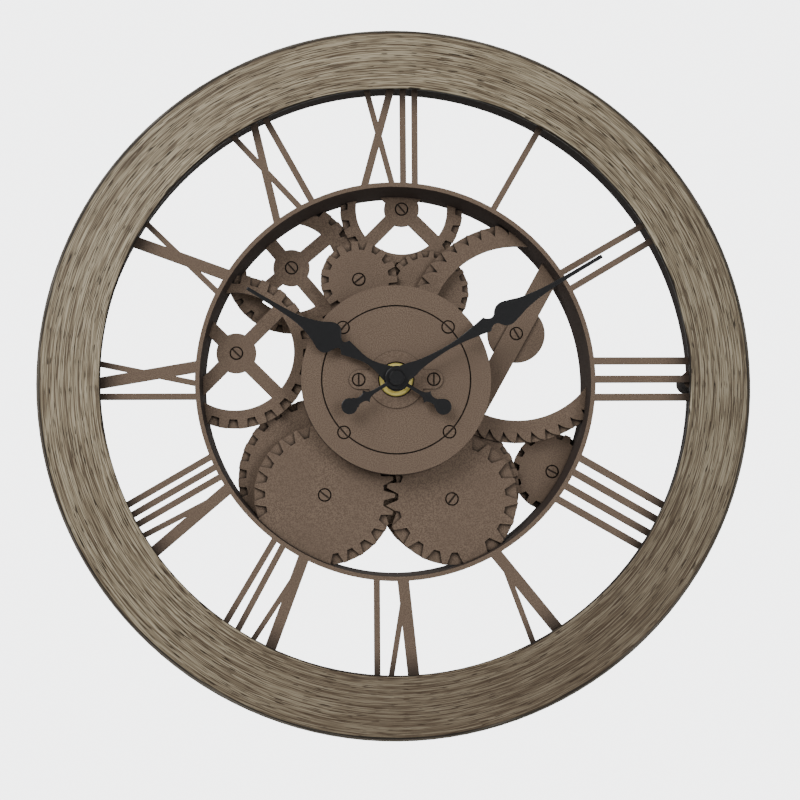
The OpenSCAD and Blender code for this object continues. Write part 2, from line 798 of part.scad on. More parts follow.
cap_edge = 0.5;
cap_top = 1.1;
module hand_cap() {
  y_end = minute_y - seat_gap;
  color("#1c1b1d") turned() polygon([
    [0, cap_front], [cap_r - cap_edge, cap_front], [cap_r, cap_front + cap_edge], [cap_r, y_end],
    [arbor_r + seat_gap / 2, y_end], [arbor_r + seat_gap / 2, cap_front + cap_top], [0, cap_front + cap_top]
  ]);
}

nut_back = plate_y + nut_sink;
nut_step = 0.8;
nut_neck_r = 5.4;
module brass_nut() {
  color("#d9b64a") turned() polygon([
    [bushing_r, nut_back], [nut_r, nut_back], [nut_r, nut_back - nut_h + nut_step + nut_step / 2],
    [nut_r - nut_step / 2, nut_back - nut_h + nut_step], [nut_neck_r, nut_back - nut_h + nut_step],
    [nut_neck_r, nut_back - nut_h], [bushing_r, nut_back - nut_h]
  ]);
}

// The movement, front face towards the dial
washer_t = 1;
case_y = plate_back + washer_t;
inner_y = case_y + case_wall;
cover_t = 1.2;
cover_y = case_y + case_depth - cover_t;
case_half = case_side / 2;
cell_r = cell_d / 2;
cell_gap = 0.3;
cell_lift = 0.9;
cell_z = -case_half + case_wall + cell_gap + cell_lift + cell_r;
cell_y = inner_y + cell_gap + cell_r;
bay_top = cell_z + cell_r + cell_gap;
bushing_proud = 0.6;
bushing_front = nut_back - nut_h - bushing_proud;
washer_r = 11;

module movement_washer() {
  color("#2b2b2b") tube_y(plate_back, washer_t, washer_r, bushing_r + seat_gap);
}

module case_outline(inset) {
  r = case_corner - inset;
  m = case_half - case_corner;
  difference() {
    square(2 * (case_half - inset), center = true);
    for (sx = [-1, 1], sz = [-1, 1]) translate([sx * m, sz * m]) difference() {
      translate([sx > 0 ? 0 : -case_corner, sz > 0 ? 0 : -case_corner]) square(case_corner + over);
      circle(r = r, $fn = 64);
    }
  }
}

// Wheel train: levels from the front wall backwards
wheel_w = 1;
step = 1.6;
level_a = inner_y + pass_gap;
level_b = level_a + step;
level_c = level_b + step;
level_d = level_c + step;
level_e = level_d + step;
level_f = level_e + step;
level_g = level_f + step;

// Teeth and modules; the second pair of each axis follows from its centre distance
cannon_n = 12;
motion_n = 36;
motion_pinion_n = 10;
hour_n = 40;
setting_n = 12;
centre_n = 64;
third_pinion_n = 8;
third_n = 60;
second_pinion_n = 8;
second_n = 40;
inter_pinion_n = 10;
inter_n = 60;
rotor_n = 8;
fine_m = 0.28;
second_m = 0.44;

function mesh(n1, n2, m) = (n1 + n2) / 2 * m;
motion_dist = mesh(cannon_n, motion_n, fine_m);
hour_m = 2 * motion_dist / (motion_pinion_n + hour_n);
third_dist = mesh(centre_n, third_pinion_n, fine_m);
third_m = 2 * third_dist / (third_n + second_pinion_n);
inter_dist = mesh(second_n, inter_pinion_n, second_m);
rotor_dist = mesh(inter_n, rotor_n, fine_m);

motion_at = polar(motion_dist, 90);
setting_at = motion_at + polar(mesh(motion_n, setting_n, fine_m), 100);
third_at = polar(third_dist, 150);
inter_at = polar(inter_dist, 10);
rotor_at = inter_at + polar(rotor_dist, 70);

stud_r = 0.6;
add_share = 0.8;
ded_share = 1.15;

// Fine gear outline: a tooth centred on the angle turn
fine_tip_share = 0.1;
fine_root_share = 0.27;
function fine_points(n, m, turn) = [
  for (i = [0 : n - 1], k = [0 : 3])
    let (p = 360 / n, a = turn + p * i, tip = k == 1 || k == 2,
      h = tip ? fine_tip_share : fine_root_share, side = k < 2 ? -1 : 1)
    polar(n * m / 2 + (tip ? add_share : -ded_share) * m, a + side * h * p)
];

module fine_gear(y, t, n, m, turn, bore) {
  slab(y, t) difference() {
    polygon(fine_points(n, m, turn));
    circle(r = bore, $fn = 48);
  }
}

// A tooth of the driver points along the line of centres, and a gap of the driven wheel meets it
function gap_turn(n, a) = a + 180 + 180 / n;

module movement_case() {
  color("#33353a") {
    difference() {
      union() {
        difference() {
          slab(case_y, cover_y - case_y) case_outline(0);
          slab(inner_y, cover_y - inner_y + over) case_outline(case_wall);
        }
        // the wall between the train and the battery bay
        translate([-case_half + case_wall / 2, inner_y - case_wall / 2, bay_top])
          cube([case_side - case_wall, cover_y - inner_y + case_wall / 2, case_wall * 3 / 4]);
        rod(bushing_front, case_y - bushing_front + over, bushing_r);
        for (s = [[motion_at, level_b + wheel_w + pass_gap / 2], [third_at, level_d + step],
            [inter_at, level_f + step], [rotor_at, level_g + 2 * step]])
          at(s[0]) rod(case_y + over, s[1] - case_y - over, stud_r);
        at(third_at) rod(case_y + over, level_c - pass_gap / 2 - case_y - over, 2 * stud_r);
        at(inter_at) rod(case_y + over, level_e - pass_gap / 2 - case_y - over, 2 * stud_r);
        at(rotor_at) rod(case_y + over, level_f - pass_gap / 2 - case_y - over, 2 * stud_r);
        at(setting_at) rod(case_y + over, level_b - pass_gap / 2 - case_y - over, 3 * stud_r);
      }
      rod(bushing_front - over, inner_y - bushing_front + 2 * over, bushing_bore_r);
      at(setting_at) rod(inner_y - pass_gap, level_b - inner_y + 2 * over, knob_pivot_r + run_gap);
    }
  }
}

knob_pivot_r = 0.8;
knob_shaft_r = 1.2;
knob_h = 2.2;
knob_gap = 0.3;
knob_grips = 16;

module movement_cover() {
  y = cover_y + seat_gap;
  t = cover_t - seat_gap;
  color("#2d2f34") difference() {
    union() {
      intersection() {
        slab(y, t) case_outline(0);
        translate([-case_half, y - over, bay_top]) cube([case_side, t + 2 * over, case_side]);
      }
      intersection() {
        rod(level_e + wheel_w + pass_gap, y - level_e - wheel_w - pass_gap + t / 2, 3 * stud_r);
        slab(inner_y, y - inner_y + t / 2) case_outline(case_wall);
      }
      at(inter_at) rod(level_f + wheel_w + pass_gap, y - level_f - wheel_w - pass_gap + t / 2, 2.2 * stud_r);
    }
    rod(level_e, cover_y - level_e + over, second_r + run_gap);
    at(inter_at) rod(level_f, step + over, stud_r + run_gap);
    at(rotor_at) rod(cover_y - over, 2 * over + cover_t / 2, stud_r + run_gap);
    at(setting_at) rod(cover_y - over, cover_t + 2 * over, knob_shaft_r + run_gap);
  }
}

// Parts of the train
module hour_wheel() {
  color("#e6e2d6") {
    fine_gear(level_a, wheel_w, hour_n, hour_m, 0, arbor_r + run_gap);
    tube_y(hour_y - hand_t / 2, level_a + wheel_w / 2 - hour_y + hand_t / 2, tube_r, arbor_r + run_gap);
  }
}

module motion_wheel() {
  color("#e6e2d6") at(motion_at) {
    fine_gear(level_b, wheel_w, motion_n, fine_m, gap_turn(motion_n, 90), stud_r + run_gap);
    fine_gear(level_a, level_b - level_a + wheel_w / 2, motion_pinion_n, hour_m,
      270 + 180 / motion_pinion_n, stud_r + run_gap);
  }
}

module minute_arbor() {
  color("#c9ccd0") {
    tube_y(cap_front + cap_top + seat_gap, level_b - cap_front - cap_top - 2 * seat_gap,
      arbor_r, second_r + run_gap);
    fine_gear(level_b, level_c - level_b - pass_gap, cannon_n, fine_m, 90, second_r + run_gap);
    tube_y(level_a, level_c + wheel_w + pass_gap / 2 - level_a, cannon_seat_r, second_r + run_gap);
  }
}

cannon_seat_r = 1.2;

module centre_wheel() {
  color("#e6e2d6") fine_gear(level_c, wheel_w, centre_n, fine_m, 150, cannon_seat_r + run_gap);
}

module third_wheel() {
  color("#e6e2d6") at(third_at) {
    fine_gear(level_c, level_d - level_c + wheel_w / 2, third_pinion_n, fine_m,
      gap_turn(third_pinion_n, 150), stud_r + run_gap);
    fine_gear(level_d, wheel_w, third_n, third_m, gap_turn(third_n, 150), stud_r + run_gap);
  }
}

module second_wheel() {
  color("#e6e2d6") {
    rod(cap_front + cap_top + 2 * pass_gap, cover_y - cap_front - cap_top - 3 * pass_gap, second_r);
    slab(level_d, level_e - level_d + wheel_w / 2)
      polygon(fine_points(second_pinion_n, third_m, 150));
    slab(level_e, wheel_w) polygon(fine_points(second_n, second_m, 10));
  }
}

module intermediate_wheel() {
  color("#e6e2d6") at(inter_at) {
    fine_gear(level_e, level_f - level_e + wheel_w / 2, inter_pinion_n, second_m,
      gap_turn(inter_pinion_n, 10), stud_r + run_gap);
    fine_gear(level_f, wheel_w, inter_n, fine_m, 70, stud_r + run_gap);
  }
}

magnet_r = 2.8;
magnet_h = 2.2;
module rotor() {
  color("#55565a") at(rotor_at) {
    fine_gear(level_f, level_g - level_f + wheel_w / 2, rotor_n, fine_m,
      gap_turn(rotor_n, 70), stud_r + run_gap);
    tube_y(level_g, magnet_h, magnet_r, stud_r + run_gap);
  }
}

stator_t = 1;
stator_drop = 0.6;
stator_y = level_g + stator_drop;
stator_gap = 0.5;
stator_half = 4;
stator_left = 4;
stator_right = case_half - case_wall - 2 * pass_gap;
coil_r = 3.1;
coil_flange_r = 3.4;
coil_room = 2.2;
coil_z = case_half - case_wall - coil_flange_r - coil_room;
coil_flange_t = 0.8;
coil_gap = 4.2;
core_half = 1.2;
coil_y = stator_y - core_half - seat_gap;

module stator() {
  top = coil_z + core_half;
  color("#8d9096") slab(stator_y, stator_t) difference() {
    union() {
      translate([stator_left, rotor_at[1] - stator_half])
        square([stator_right - stator_left, 2 * stator_half]);
      for (x = [stator_left, stator_right - coil_gap + pass_gap])
        translate([x, rotor_at[1]]) square([coil_gap - pass_gap, top - rotor_at[1]]);
    }
    translate(rotor_at) circle(r = magnet_r + stator_gap, $fn = 64);
  }
}

module coil() {
  l = stator_right - stator_left;
  spool = l - 2 * coil_gap;
  color("#b5552c") translate([stator_left, coil_y, coil_z]) rotate([0, 90, 0]) {
    translate([-core_half, -core_half, 0]) cube([2 * core_half, 2 * core_half, l]);
    translate([0, 0, coil_gap]) cylinder(h = spool, r = coil_r, $fn = 64);
    for (z = [coil_gap, coil_gap + spool - coil_flange_t]) translate([0, 0, z])
      cylinder(h = coil_flange_t, r = coil_flange_r, $fn = 64);
  }
}

board_t = 1;
board_y = stator_y;
board_left = -case_half + case_wall + pass_gap;
board_w = 20;
board_h = 15;
board_room = 3.4;
board_z = case_half - case_wall - board_room - board_h;
crystal_r = 1;
crystal_l = 6;
chip_r = 3;
chip_t = 1.2;
module circuit_board() {
  color("#2f6b43") {
    translate([board_left, board_y, board_z]) cube([board_w, board_t, board_h]);
    translate([board_left + board_w / 2, board_y + board_t / 2, board_z + board_h / 2])
      rotate([-90, 0, 0]) cylinder(h = chip_t + board_t / 2, r1 = chip_r, r2 = chip_r / 2, $fn = 48);
    translate([board_left + board_w / 4, board_y + board_t + crystal_r / 2,
      board_z + board_h - 2 * crystal_r])
      rotate([0, 90, 0]) cylinder(h = crystal_l, r = crystal_r, $fn = 48);
  }
}

module setting_knob() {
  y = cover_y + cover_t + knob_gap;
  color("#2d2f34") at(setting_at) {
    rod(inner_y, level_b - inner_y + over, knob_pivot_r);
    fine_gear(level_b, wheel_w, setting_n, fine_m, 280, knob_pivot_r / 2);
    rod(level_b + wheel_w / 2, y - level_b - wheel_w / 2 + over, knob_shaft_r);
    slab(y, knob_h) difference() {
      circle(r = knob_r, $fn = 64);
      for (i = [0 : knob_grips - 1]) translate(polar(knob_r + grip_r / 2, i * 360 / knob_grips))
        circle(r = grip_r, $fn = 24);
    }
  }
}

grip_r = 0.7;

button_r = 2.7;
button_h = 1;
module battery() {
  color("#3f4a52") translate([-cell_l / 2 - button_h / 2, cell_y, cell_z]) rotate([0, 90, 0]) {
    cylinder(h = cell_l, r = cell_r, $fn = round_fn);
    cylinder(h = cell_l + button_h, r = button_r, $fn = 48);
  }
}

contact_t = 0.3;
contact_w = 7;
module battery_contacts() {
  inner = case_half - case_wall;
  color("#c9ccd0") for (s = [-1, 1]) {
    end = s > 0 ? cell_l / 2 + button_h / 2 : cell_l / 2 + button_h / 2;
    translate([s > 0 ? end + seat_gap : -end - seat_gap - contact_t, cell_y - contact_w / 2,
      cell_z - contact_w / 2])
      cube([contact_t, contact_w, contact_w]);
    translate([s > 0 ? end + seat_gap : -inner + seat_gap / 2, cell_y - contact_w / 2,
      cell_z - contact_w / 2])
      cube([inner - end - 3 / 2 * seat_gap, contact_w, contact_t]);
  }
}

// The keyhole hanger on its pad at the top of the frame's back
hanger_screw_l = 5;
hanger_head_r = 2.4;

// A countersunk head that ends level with the plate's back
module countersink(extra) {
  translate([0, hanger_front - extra, 0]) rotate([-90, 0, 0])
    cylinder(h = hanger_t + 2 * extra, r1 = hanger_screw_r - extra, r2 = hanger_head_r + extra, $fn = 48);
}

module hanger_plate() {
  color("#a9acb0") translate([0, 0, pad_mid]) difference() {
    slab(hanger_front, hanger_t) difference() {
      union() {
        translate([-hanger_w / 2 + hanger_h / 2, -hanger_h / 2]) square([hanger_w - hanger_h, hanger_h]);
        for (s = [-1, 1]) translate([s * (hanger_w - hanger_h) / 2, 0]) circle(r = hanger_h / 2, $fn = 64);
      }
      translate([0, -key_drop]) keyhole(0);
    }
    for (s = [-1, 1]) at([s * hanger_screw_x, 0]) countersink(seat_gap);
  }
}

module hanger_screws() {
  color("#a9acb0") for (s = [-1, 1]) at([s * hanger_screw_x, pad_mid]) {
    rod(hanger_front - hanger_screw_l, hanger_screw_l + hanger_t / 2, hanger_screw_r - run_gap);
    countersink(0);
  }
}

screw_inset = 1.2;
boss_at = polar(hoop_r - screw_inset, boss_angle);
frame_screw_r = 1.3;
frame_screw_l = 8;
frame_head_r = 2.4;
frame_head_h = 1.4;
module frame_screw() {
  y = hoop_back + seat_gap + ear_t;
  color("#a9acb0") at(boss_at) {
    rod(hoop_back - frame_screw_l + over, frame_screw_l + ear_t, frame_screw_r - run_gap);
    rod(y + seat_gap / 2, frame_head_h, frame_head_r);
  }
}

frame();
dial_skeleton();
centre_plate();
yoke_plate();
centre_screws();
yoke_screws();
gear_left();
gear_upper_left();
gear_top();
gear_small_front();
gear_small_rear();
ratchet_wheel();
bridge_arm();
gear_lower_left();
gear_lower_left_rear();
gear_lower_right();
gear_lower_right_rear();
gear_far_right();
gear_screws();
hour_hand();
minute_hand();
hand_cap();
brass_nut();
movement_case();
movement_cover();
movement_washer();
circuit_board();
coil();
stator();
rotor();
intermediate_wheel();
second_wheel();
third_wheel();
centre_wheel();
minute_arbor();
motion_wheel();
hour_wheel();
setting_knob();
battery();
battery_contacts();
hanger_plate();
hanger_screws();
frame_screw();
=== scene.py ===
import math

import bmesh
import bpy
from mathutils import Matrix, Vector


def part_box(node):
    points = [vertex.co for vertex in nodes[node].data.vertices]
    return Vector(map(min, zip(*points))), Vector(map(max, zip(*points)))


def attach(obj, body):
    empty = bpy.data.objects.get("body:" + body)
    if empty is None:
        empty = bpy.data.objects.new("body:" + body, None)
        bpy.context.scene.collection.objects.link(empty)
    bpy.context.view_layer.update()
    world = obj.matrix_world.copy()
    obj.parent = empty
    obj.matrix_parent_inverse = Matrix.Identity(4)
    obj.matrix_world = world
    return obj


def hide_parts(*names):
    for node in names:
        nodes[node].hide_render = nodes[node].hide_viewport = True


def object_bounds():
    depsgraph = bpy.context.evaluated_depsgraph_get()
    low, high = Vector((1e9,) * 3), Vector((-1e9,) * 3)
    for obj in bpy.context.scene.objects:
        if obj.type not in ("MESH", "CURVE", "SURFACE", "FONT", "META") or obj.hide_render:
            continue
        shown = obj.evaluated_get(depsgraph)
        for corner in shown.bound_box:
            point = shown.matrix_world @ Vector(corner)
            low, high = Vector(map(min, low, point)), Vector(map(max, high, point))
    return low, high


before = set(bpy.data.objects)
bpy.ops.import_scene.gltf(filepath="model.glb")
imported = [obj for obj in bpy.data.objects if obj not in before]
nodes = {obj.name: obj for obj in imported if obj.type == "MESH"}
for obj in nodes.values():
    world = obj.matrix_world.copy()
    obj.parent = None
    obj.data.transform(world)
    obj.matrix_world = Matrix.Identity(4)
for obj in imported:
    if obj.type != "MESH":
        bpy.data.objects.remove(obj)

cad_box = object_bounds()
MM = 0.001


def linear(code):
    """An sRGB hex colour as the linear values that shaders use."""
    parts = [int(code[i:i + 2], 16) / 255 for i in (1, 3, 5)]
    return [c / 12.92 if c <= 0.04045 else ((c + 0.055) / 1.055) ** 2.4 for c in parts] + [1.0]


def put(tree, kind, inputs=None, stops=(), **settings):
    """Adds a node with its settings, gives each input a value or another node's output, and sets the
    places and colours of a ramp. Returns the node's outputs."""
    made = tree.nodes.new(kind)
    for name, value in settings.items():
        setattr(made, name, value)
    for socket, value in (inputs or {}).items():
        if isinstance(value, bpy.types.NodeSocket):
            tree.links.new(value, made.inputs[socket])
        else:
            made.inputs[socket].default_value = value
    if stops:
        line = made.color_ramp.elements
        while len(line) < len(stops):
            line.new(0.5)
        for mark, (place, code) in zip(line, stops):
            mark.position, mark.color = place, linear(code)
    return made.outputs


# Finishes

def finish_of(name, colour, roughness, metallic=0.0, specular=0.5, coat=0.0):
    """A new material whose shader holds the plain values of its finish."""
    made = bpy.data.materials.new(name)
    made.use_nodes = True
    shader = made.node_tree.nodes["Principled BSDF"]
    for socket, value in (("Base Color", linear(colour)), ("Roughness", roughness),
                          ("Metallic", metallic), ("Specular IOR Level", specular),
                          ("Coat Weight", coat)):
        shader.inputs[socket].default_value = value
    made.diffuse_color = linear(colour)
    return made, made.node_tree, shader


def link_up(tree, shader, outputs):
    """Links patterns to the shader, each under the name of the socket that it feeds."""
    for socket, output in outputs.items():
        tree.links.new(output, shader.inputs[socket])


def grains(tree, size_mm, detail=2.0, place=None):
    """An even speckle whose grains are about size_mm across. A cell of the noise is two grains wide."""
    place = place or put(tree, "ShaderNodeTexCoord")["Object"]
    return put(tree, "ShaderNodeTexNoise", {"Vector": place, "Scale": 1 / (2 * size_mm * MM),
                                            "Detail": detail})[0]


def from_axis(tree):
    """The distance from the clock's axis, the depth along it and the direction, in metres."""
    place = put(tree, "ShaderNodeSeparateXYZ", {0: put(tree, "ShaderNodeTexCoord")["Object"]})
    flat = put(tree, "ShaderNodeCombineXYZ", {"X": place[0], "Z": place[2]})[0]
    away = put(tree, "ShaderNodeVectorMath", {0: flat}, operation="LENGTH")["Value"]
    way = put(tree, "ShaderNodeVectorMath", {0: flat}, operation="NORMALIZE")[0]
    return away, place[1], way


# The painted face of the frame: the radius at the middle of its width, the size of the patches in
# which the comb wanders, and how ragged the edge bands are, in millimetres. The side that gets
# painted shade is a direction from the axis, below and a little right.
FACE_MIDDLE = 138
WANDER_PATCH = 30
RAGGED = 1.6
SHADED_SIDE = (0.35, 0, -0.94)
# Each edge band: the radii in millimetres where it begins and where it is full, and its colour. They
# are the dark inner lip, the dark line outside, and last the pale outer rim, which alone is rubbed
# smoother.
EDGE_BANDS = [(125.7, 125.2, "#261f18"), (150.6, 151, "#2c261f"), (151.3, 151.6, "#6d665c")]


def comb_lines(tree, long_mm, wide_mm, start, wander_mm, detail=0.0):
    """Lines about long_mm long and wide_mm wide that run round the frame's face, and wander across
    it, as the strokes of a comb pulled by hand do. Each layer of lines has its own start."""
    away, depth, way = from_axis(tree)
    along = put(tree, "ShaderNodeVectorMath", {0: way, "Scale": FACE_MIDDLE / (2 * long_mm)},
                operation="SCALE")[0]
    across = put(tree, "ShaderNodeMath", {0: away, 1: depth}, operation="ADD")[0]
    patches = grains(tree, WANDER_PATCH, detail=0.0)
    across = put(tree, "ShaderNodeMath", {0: patches, 1: wander_mm * MM, 2: across},
                 operation="MULTIPLY_ADD")[0]
    across = put(tree, "ShaderNodeMath", {0: across, 1: 1 / (2 * wide_mm * MM), 2: start},
                 operation="MULTIPLY_ADD")[0]
    across = put(tree, "ShaderNodeCombineXYZ", {"Y": across})[0]
    place = put(tree, "ShaderNodeVectorMath", {0: along, 1: across}, operation="ADD")[0]
    return put(tree, "ShaderNodeTexNoise", {"Vector": place, "Scale": 1.0, "Detail": detail})[0]


# Polystyrene moulding with a comb-brushed wood effect: tan paint pulled round the ring over a dark
# base coat. The eye sees fine lines, short dark nicks where the comb went through, broad soft changes
# of tone, and dark edges inside and outside. Painted shade darkens the side below and a little right.
def comb_brushed_paint():
    matt, rubbed, groove = 0.62, 0.4, 0.07 * MM
    made, tree, shader = finish_of("comb_brushed_paint_on_polystyrene", "#8a7a62", matt, specular=0.3)
    broad = comb_lines(tree, long_mm=50, wide_mm=1.1, start=3.7, wander_mm=0.9, detail=1.0)
    fine = comb_lines(tree, long_mm=13, wide_mm=0.24, start=11.3, wander_mm=0.5)
    hair = comb_lines(tree, long_mm=5, wide_mm=0.19, start=23.9, wander_mm=0.5)
    nicks = comb_lines(tree, long_mm=3, wide_mm=0.24, start=41.2, wander_mm=0.5)
    tone = put(tree, "ShaderNodeMath", {0: broad, 1: 0.26}, operation="MULTIPLY")[0]
    for lines, share in ((fine, 0.38), (hair, 0.36)):
        tone = put(tree, "ShaderNodeMath", {0: lines, 1: share, 2: tone}, operation="MULTIPLY_ADD")[0]
    paint = put(tree, "ShaderNodeValToRGB", {0: tone}, stops=[
        (0.38, "#5b4d3d"), (0.46, "#7e705b"), (0.5, "#90836c"), (0.54, "#a1947c"), (0.62, "#c0b399")])[0]
    through = put(tree, "ShaderNodeMapRange", {"Value": nicks, "From Min": 0.29, "From Max": 0.34,
                                               "To Min": 0.9, "To Max": 0.0})[0]
    away, _, way = from_axis(tree)
    # Painted shade: the face is darker on the side below and a little right, where less light falls.
    side = put(tree, "ShaderNodeVectorMath", {0: way, 1: SHADED_SIDE}, operation="DOT_PRODUCT")["Value"]
    painted_shade = put(tree, "ShaderNodeMapRange", {"Value": side, "From Min": 0.45, "From Max": 0.95,
                                              "To Max": 0.45})[0]
    layers = [(through, "#2b2219"), (painted_shade, "#5c4a3a")]
    ragged = put(tree, "ShaderNodeMath", {0: fine, 1: RAGGED * MM, 2: away}, operation="MULTIPLY_ADD")[0]
    for begins, full, colour in EDGE_BANDS:
        edge_band = put(tree, "ShaderNodeMapRange", {"Value": ragged, "From Min": begins * MM,
                                                "From Max": full * MM})[0]
        layers.append((edge_band, colour))
    for share, colour in layers:
        paint = put(tree, "ShaderNodeMix", {0: share, 6: paint, 7: linear(colour)}, data_type="RGBA")[2]
    gloss = put(tree, "ShaderNodeMapRange", {"Value": edge_band, "To Min": matt, "To Max": rubbed})[0]
    relief = put(tree, "ShaderNodeMath", {0: fine, 1: hair}, operation="ADD")[0]
    relief = put(tree, "ShaderNodeBump", {"Height": relief, "Strength": 1.0, "Distance": groove})[0]
    link_up(tree, shader, {"Base Color": paint, "Roughness": gloss, "Normal": relief})
    return made


# The brown spray, in millimetres: the size of its flakes, drawn a little coarser than they are, so
# that they show, the size of its soft clouds, how far the painted shade reaches into gaps, and the
# radii between which a painted shadow of the frame's lip darkens the numerals
FLAKE = 0.22
CLOUD = 12
GAP_SHADE_REACH = 2.2
NUMERAL_PAINTED_SHADOW = (111, 125.5)


# Moulded polystyrene under a brown metallic spray: matt with a fine tooth of flakes. The spray comes
# from the front, so the walls are thinly covered; their dark is partly that and partly painted shade.
# The narrow gaps between the wheels get painted shade, so every tooth, groove and screw is drawn round
# with dark.
def brown_metallic_spray():
    satin, dull, tooth = 0.58, 0.95, 0.02 * MM
    made, tree, shader = finish_of("brown_metallic_spray_on_polystyrene", "#8d7663", satin,
                                   metallic=0.2, specular=0.3)
    flake = grains(tree, FLAKE, detail=1.0)
    cloud = grains(tree, CLOUD)
    share = put(tree, "ShaderNodeMapRange", {"Value": flake, "From Min": 0.38, "From Max": 0.62})[0]
    tone = put(tree, "ShaderNodeMix", {0: share, 6: linear("#8f7b69"), 7: linear("#665547")},
               data_type="RGBA")[2]
    # Walls that face sideways are darker and duller: partly thin spray, partly painted shade.
    facing = put(tree, "ShaderNodeSeparateXYZ", {0: put(tree, "ShaderNodeTexCoord")["Normal"]})[1]
    facing = put(tree, "ShaderNodeMath", {0: facing}, operation="ABSOLUTE")[0]
    shaded_wall = put(tree, "ShaderNodeMapRange", {"Value": facing, "From Min": 0.35, "From Max": 0.85,
                                            "To Min": 1.0, "To Max": 0.0})[0]
    # Painted shadow: the numerals darken towards the frame, whose lip stands in front of them.
    inner, outer = NUMERAL_PAINTED_SHADOW
    lip_shadow = put(tree, "ShaderNodeMapRange", {"Value": from_axis(tree)[0], "From Min": inner * MM,
                                             "From Max": outer * MM, "To Max": 0.75},
                interpolation_type="SMOOTHSTEP")[0]
    # Painted shade: narrow gaps, grooves and the rings round the screws are darkened.
    open_to = put(tree, "ShaderNodeAmbientOcclusion", {"Distance": GAP_SHADE_REACH * MM}, samples=8)["AO"]
    gap = put(tree, "ShaderNodeMapRange", {"Value": open_to, "From Min": 0.35, "From Max": 0.8,
                                           "To Min": 1.0, "To Max": 0.0})[0]
    for share, colour in ((cloud, "#746253"), (shaded_wall, "#453b35"), (lip_shadow, "#2a231f"), (gap, "#1a1411")):
        tone = put(tree, "ShaderNodeMix", {0: share, 6: tone, 7: linear(colour)}, data_type="RGBA")[2]
    gloss = put(tree, "ShaderNodeMapRange", {"Value": shaded_wall, "To Min": satin, "To Max": dull})[0]
    relief = put(tree, "ShaderNodeBump", {"Height": flake, "Distance": tooth})[0]
    link_up(tree, shader, {"Base Color": tone, "Roughness": gloss, "Normal": relief})
    return made


# Stamped aluminium with a matt black powder coat: even black with a fine orange-peel tooth, and a
# thin sheen over it that catches the light on the edges.
def black_powder_coat():
    peel, tooth = 0.15, 0.02 * MM
    made, tree, shader = finish_of("matt_black_powder_coat_on_aluminium", "#121214", 0.45,
                                   specular=0.35, coat=0.6)
    bumps = grains(tree, peel)
    tone = put(tree, "ShaderNodeMix", {0: bumps, 6: linear("#08080a"), 7: linear("#131316")},
               data_type="RGBA")[2]
    relief = put(tree, "ShaderNodeBump", {"Height": bumps, "Distance": tooth})[0]
    link_up(tree, shader, {"Base Color": tone, "Normal": relief})
    return made


# Turned brass, lightly polished: clear yellow with the fine rings that the lathe leaves.
def turned_brass():
    feed, tooth = 0.3 * MM, 0.02 * MM
    made, tree, shader = finish_of("turned_brass", "#fde873", 0.48, metallic=0.7)
    away, depth, _ = from_axis(tree)
    cut = put(tree, "ShaderNodeMath", {0: away, 1: depth}, operation="ADD")[0]
    rings = put(tree, "ShaderNodeTexNoise", {"W": cut, "Scale": 1 / feed, "Detail": 2.0},
                noise_dimensions="1D")[0]
    tone = put(tree, "ShaderNodeMix", {0: rings, 6: linear("#e9d05a"), 7: linear("#fff4a2")},
               data_type="RGBA")[2]
    relief = put(tree, "ShaderNodeBump", {"Height": rings, "Distance": tooth})[0]
    link_up(tree, shader, {"Base Color": tone, "Normal": relief})
    return made


# Injection moulded plastic or rubber with the even grain that a spark-eroded mould leaves: small
# soft glints and a slight change of tone from grain to grain.
def spark_grain(name, colour, light, roughness, grain_mm):
    smoother, rougher, tooth = 0.08, 0.1, 0.03 * MM
    made, tree, shader = finish_of(name, colour, roughness)
    grain = grains(tree, grain_mm)
    tone = put(tree, "ShaderNodeMix", {0: grain, 6: linear(colour), 7: linear(light)},
               data_type="RGBA")[2]
    gloss = put(tree, "ShaderNodeMapRange", {"Value": grain, "To Min": roughness - smoother,
                                             "To Max": roughness + rougher})[0]
    relief = put(tree, "ShaderNodeBump", {"Height": grain, "Distance": tooth})[0]
    link_up(tree, shader, {"Base Color": tone, "Roughness": gloss, "Normal": relief})
    return made


# Rolled sheet or drawn wire, plated: fine lines one way, with small changes of gloss along them. The
# stretch shortens the pattern's scale along the lines.
def plated_steel(name, colour, light, roughness, stretch):
    line, smoother, rougher, tooth = 0.15, 0.08, 0.12, 0.01 * MM
    made, tree, shader = finish_of(name, colour, roughness, metallic=1.0)
    place = put(tree, "ShaderNodeTexCoord")["Object"]
    place = put(tree, "ShaderNodeMapping", {"Vector": place, "Scale": stretch})[0]
    lines = grains(tree, line, detail=3.0, place=place)
    tone = put(tree, "ShaderNodeMix", {0: lines, 6: linear(colour), 7: linear(light)},
               data_type="RGBA")[2]
    gloss = put(tree, "ShaderNodeMapRange", {"Value": lines, "To Min": roughness - smoother,
                                             "To Max": roughness + rougher})[0]
    relief = put(tree, "ShaderNodeBump", {"Height": lines, "Distance": tooth})[0]
    link_up(tree, shader, {"Base Color": tone, "Roughness": gloss, "Normal": relief})
    return made


# Enamelled copper wire: red-brown metal under clear varnish, a little darker here and there where
# the varnish lies thicker.
def enamelled_copper():
    drip = 0.6
    made, tree, shader = finish_of("enamelled_copper_wire", "#b05a34", 0.26, metallic=0.9, coat=0.3)
    varnish = grains(tree, drip)
    tone = put(tree, "ShaderNodeMix", {0: varnish, 6: linear("#8d4122"), 7: linear("#c9703f")},
               data_type="RGBA")[2]
    link_up(tree, shader, {"Base Color": tone})
    return made


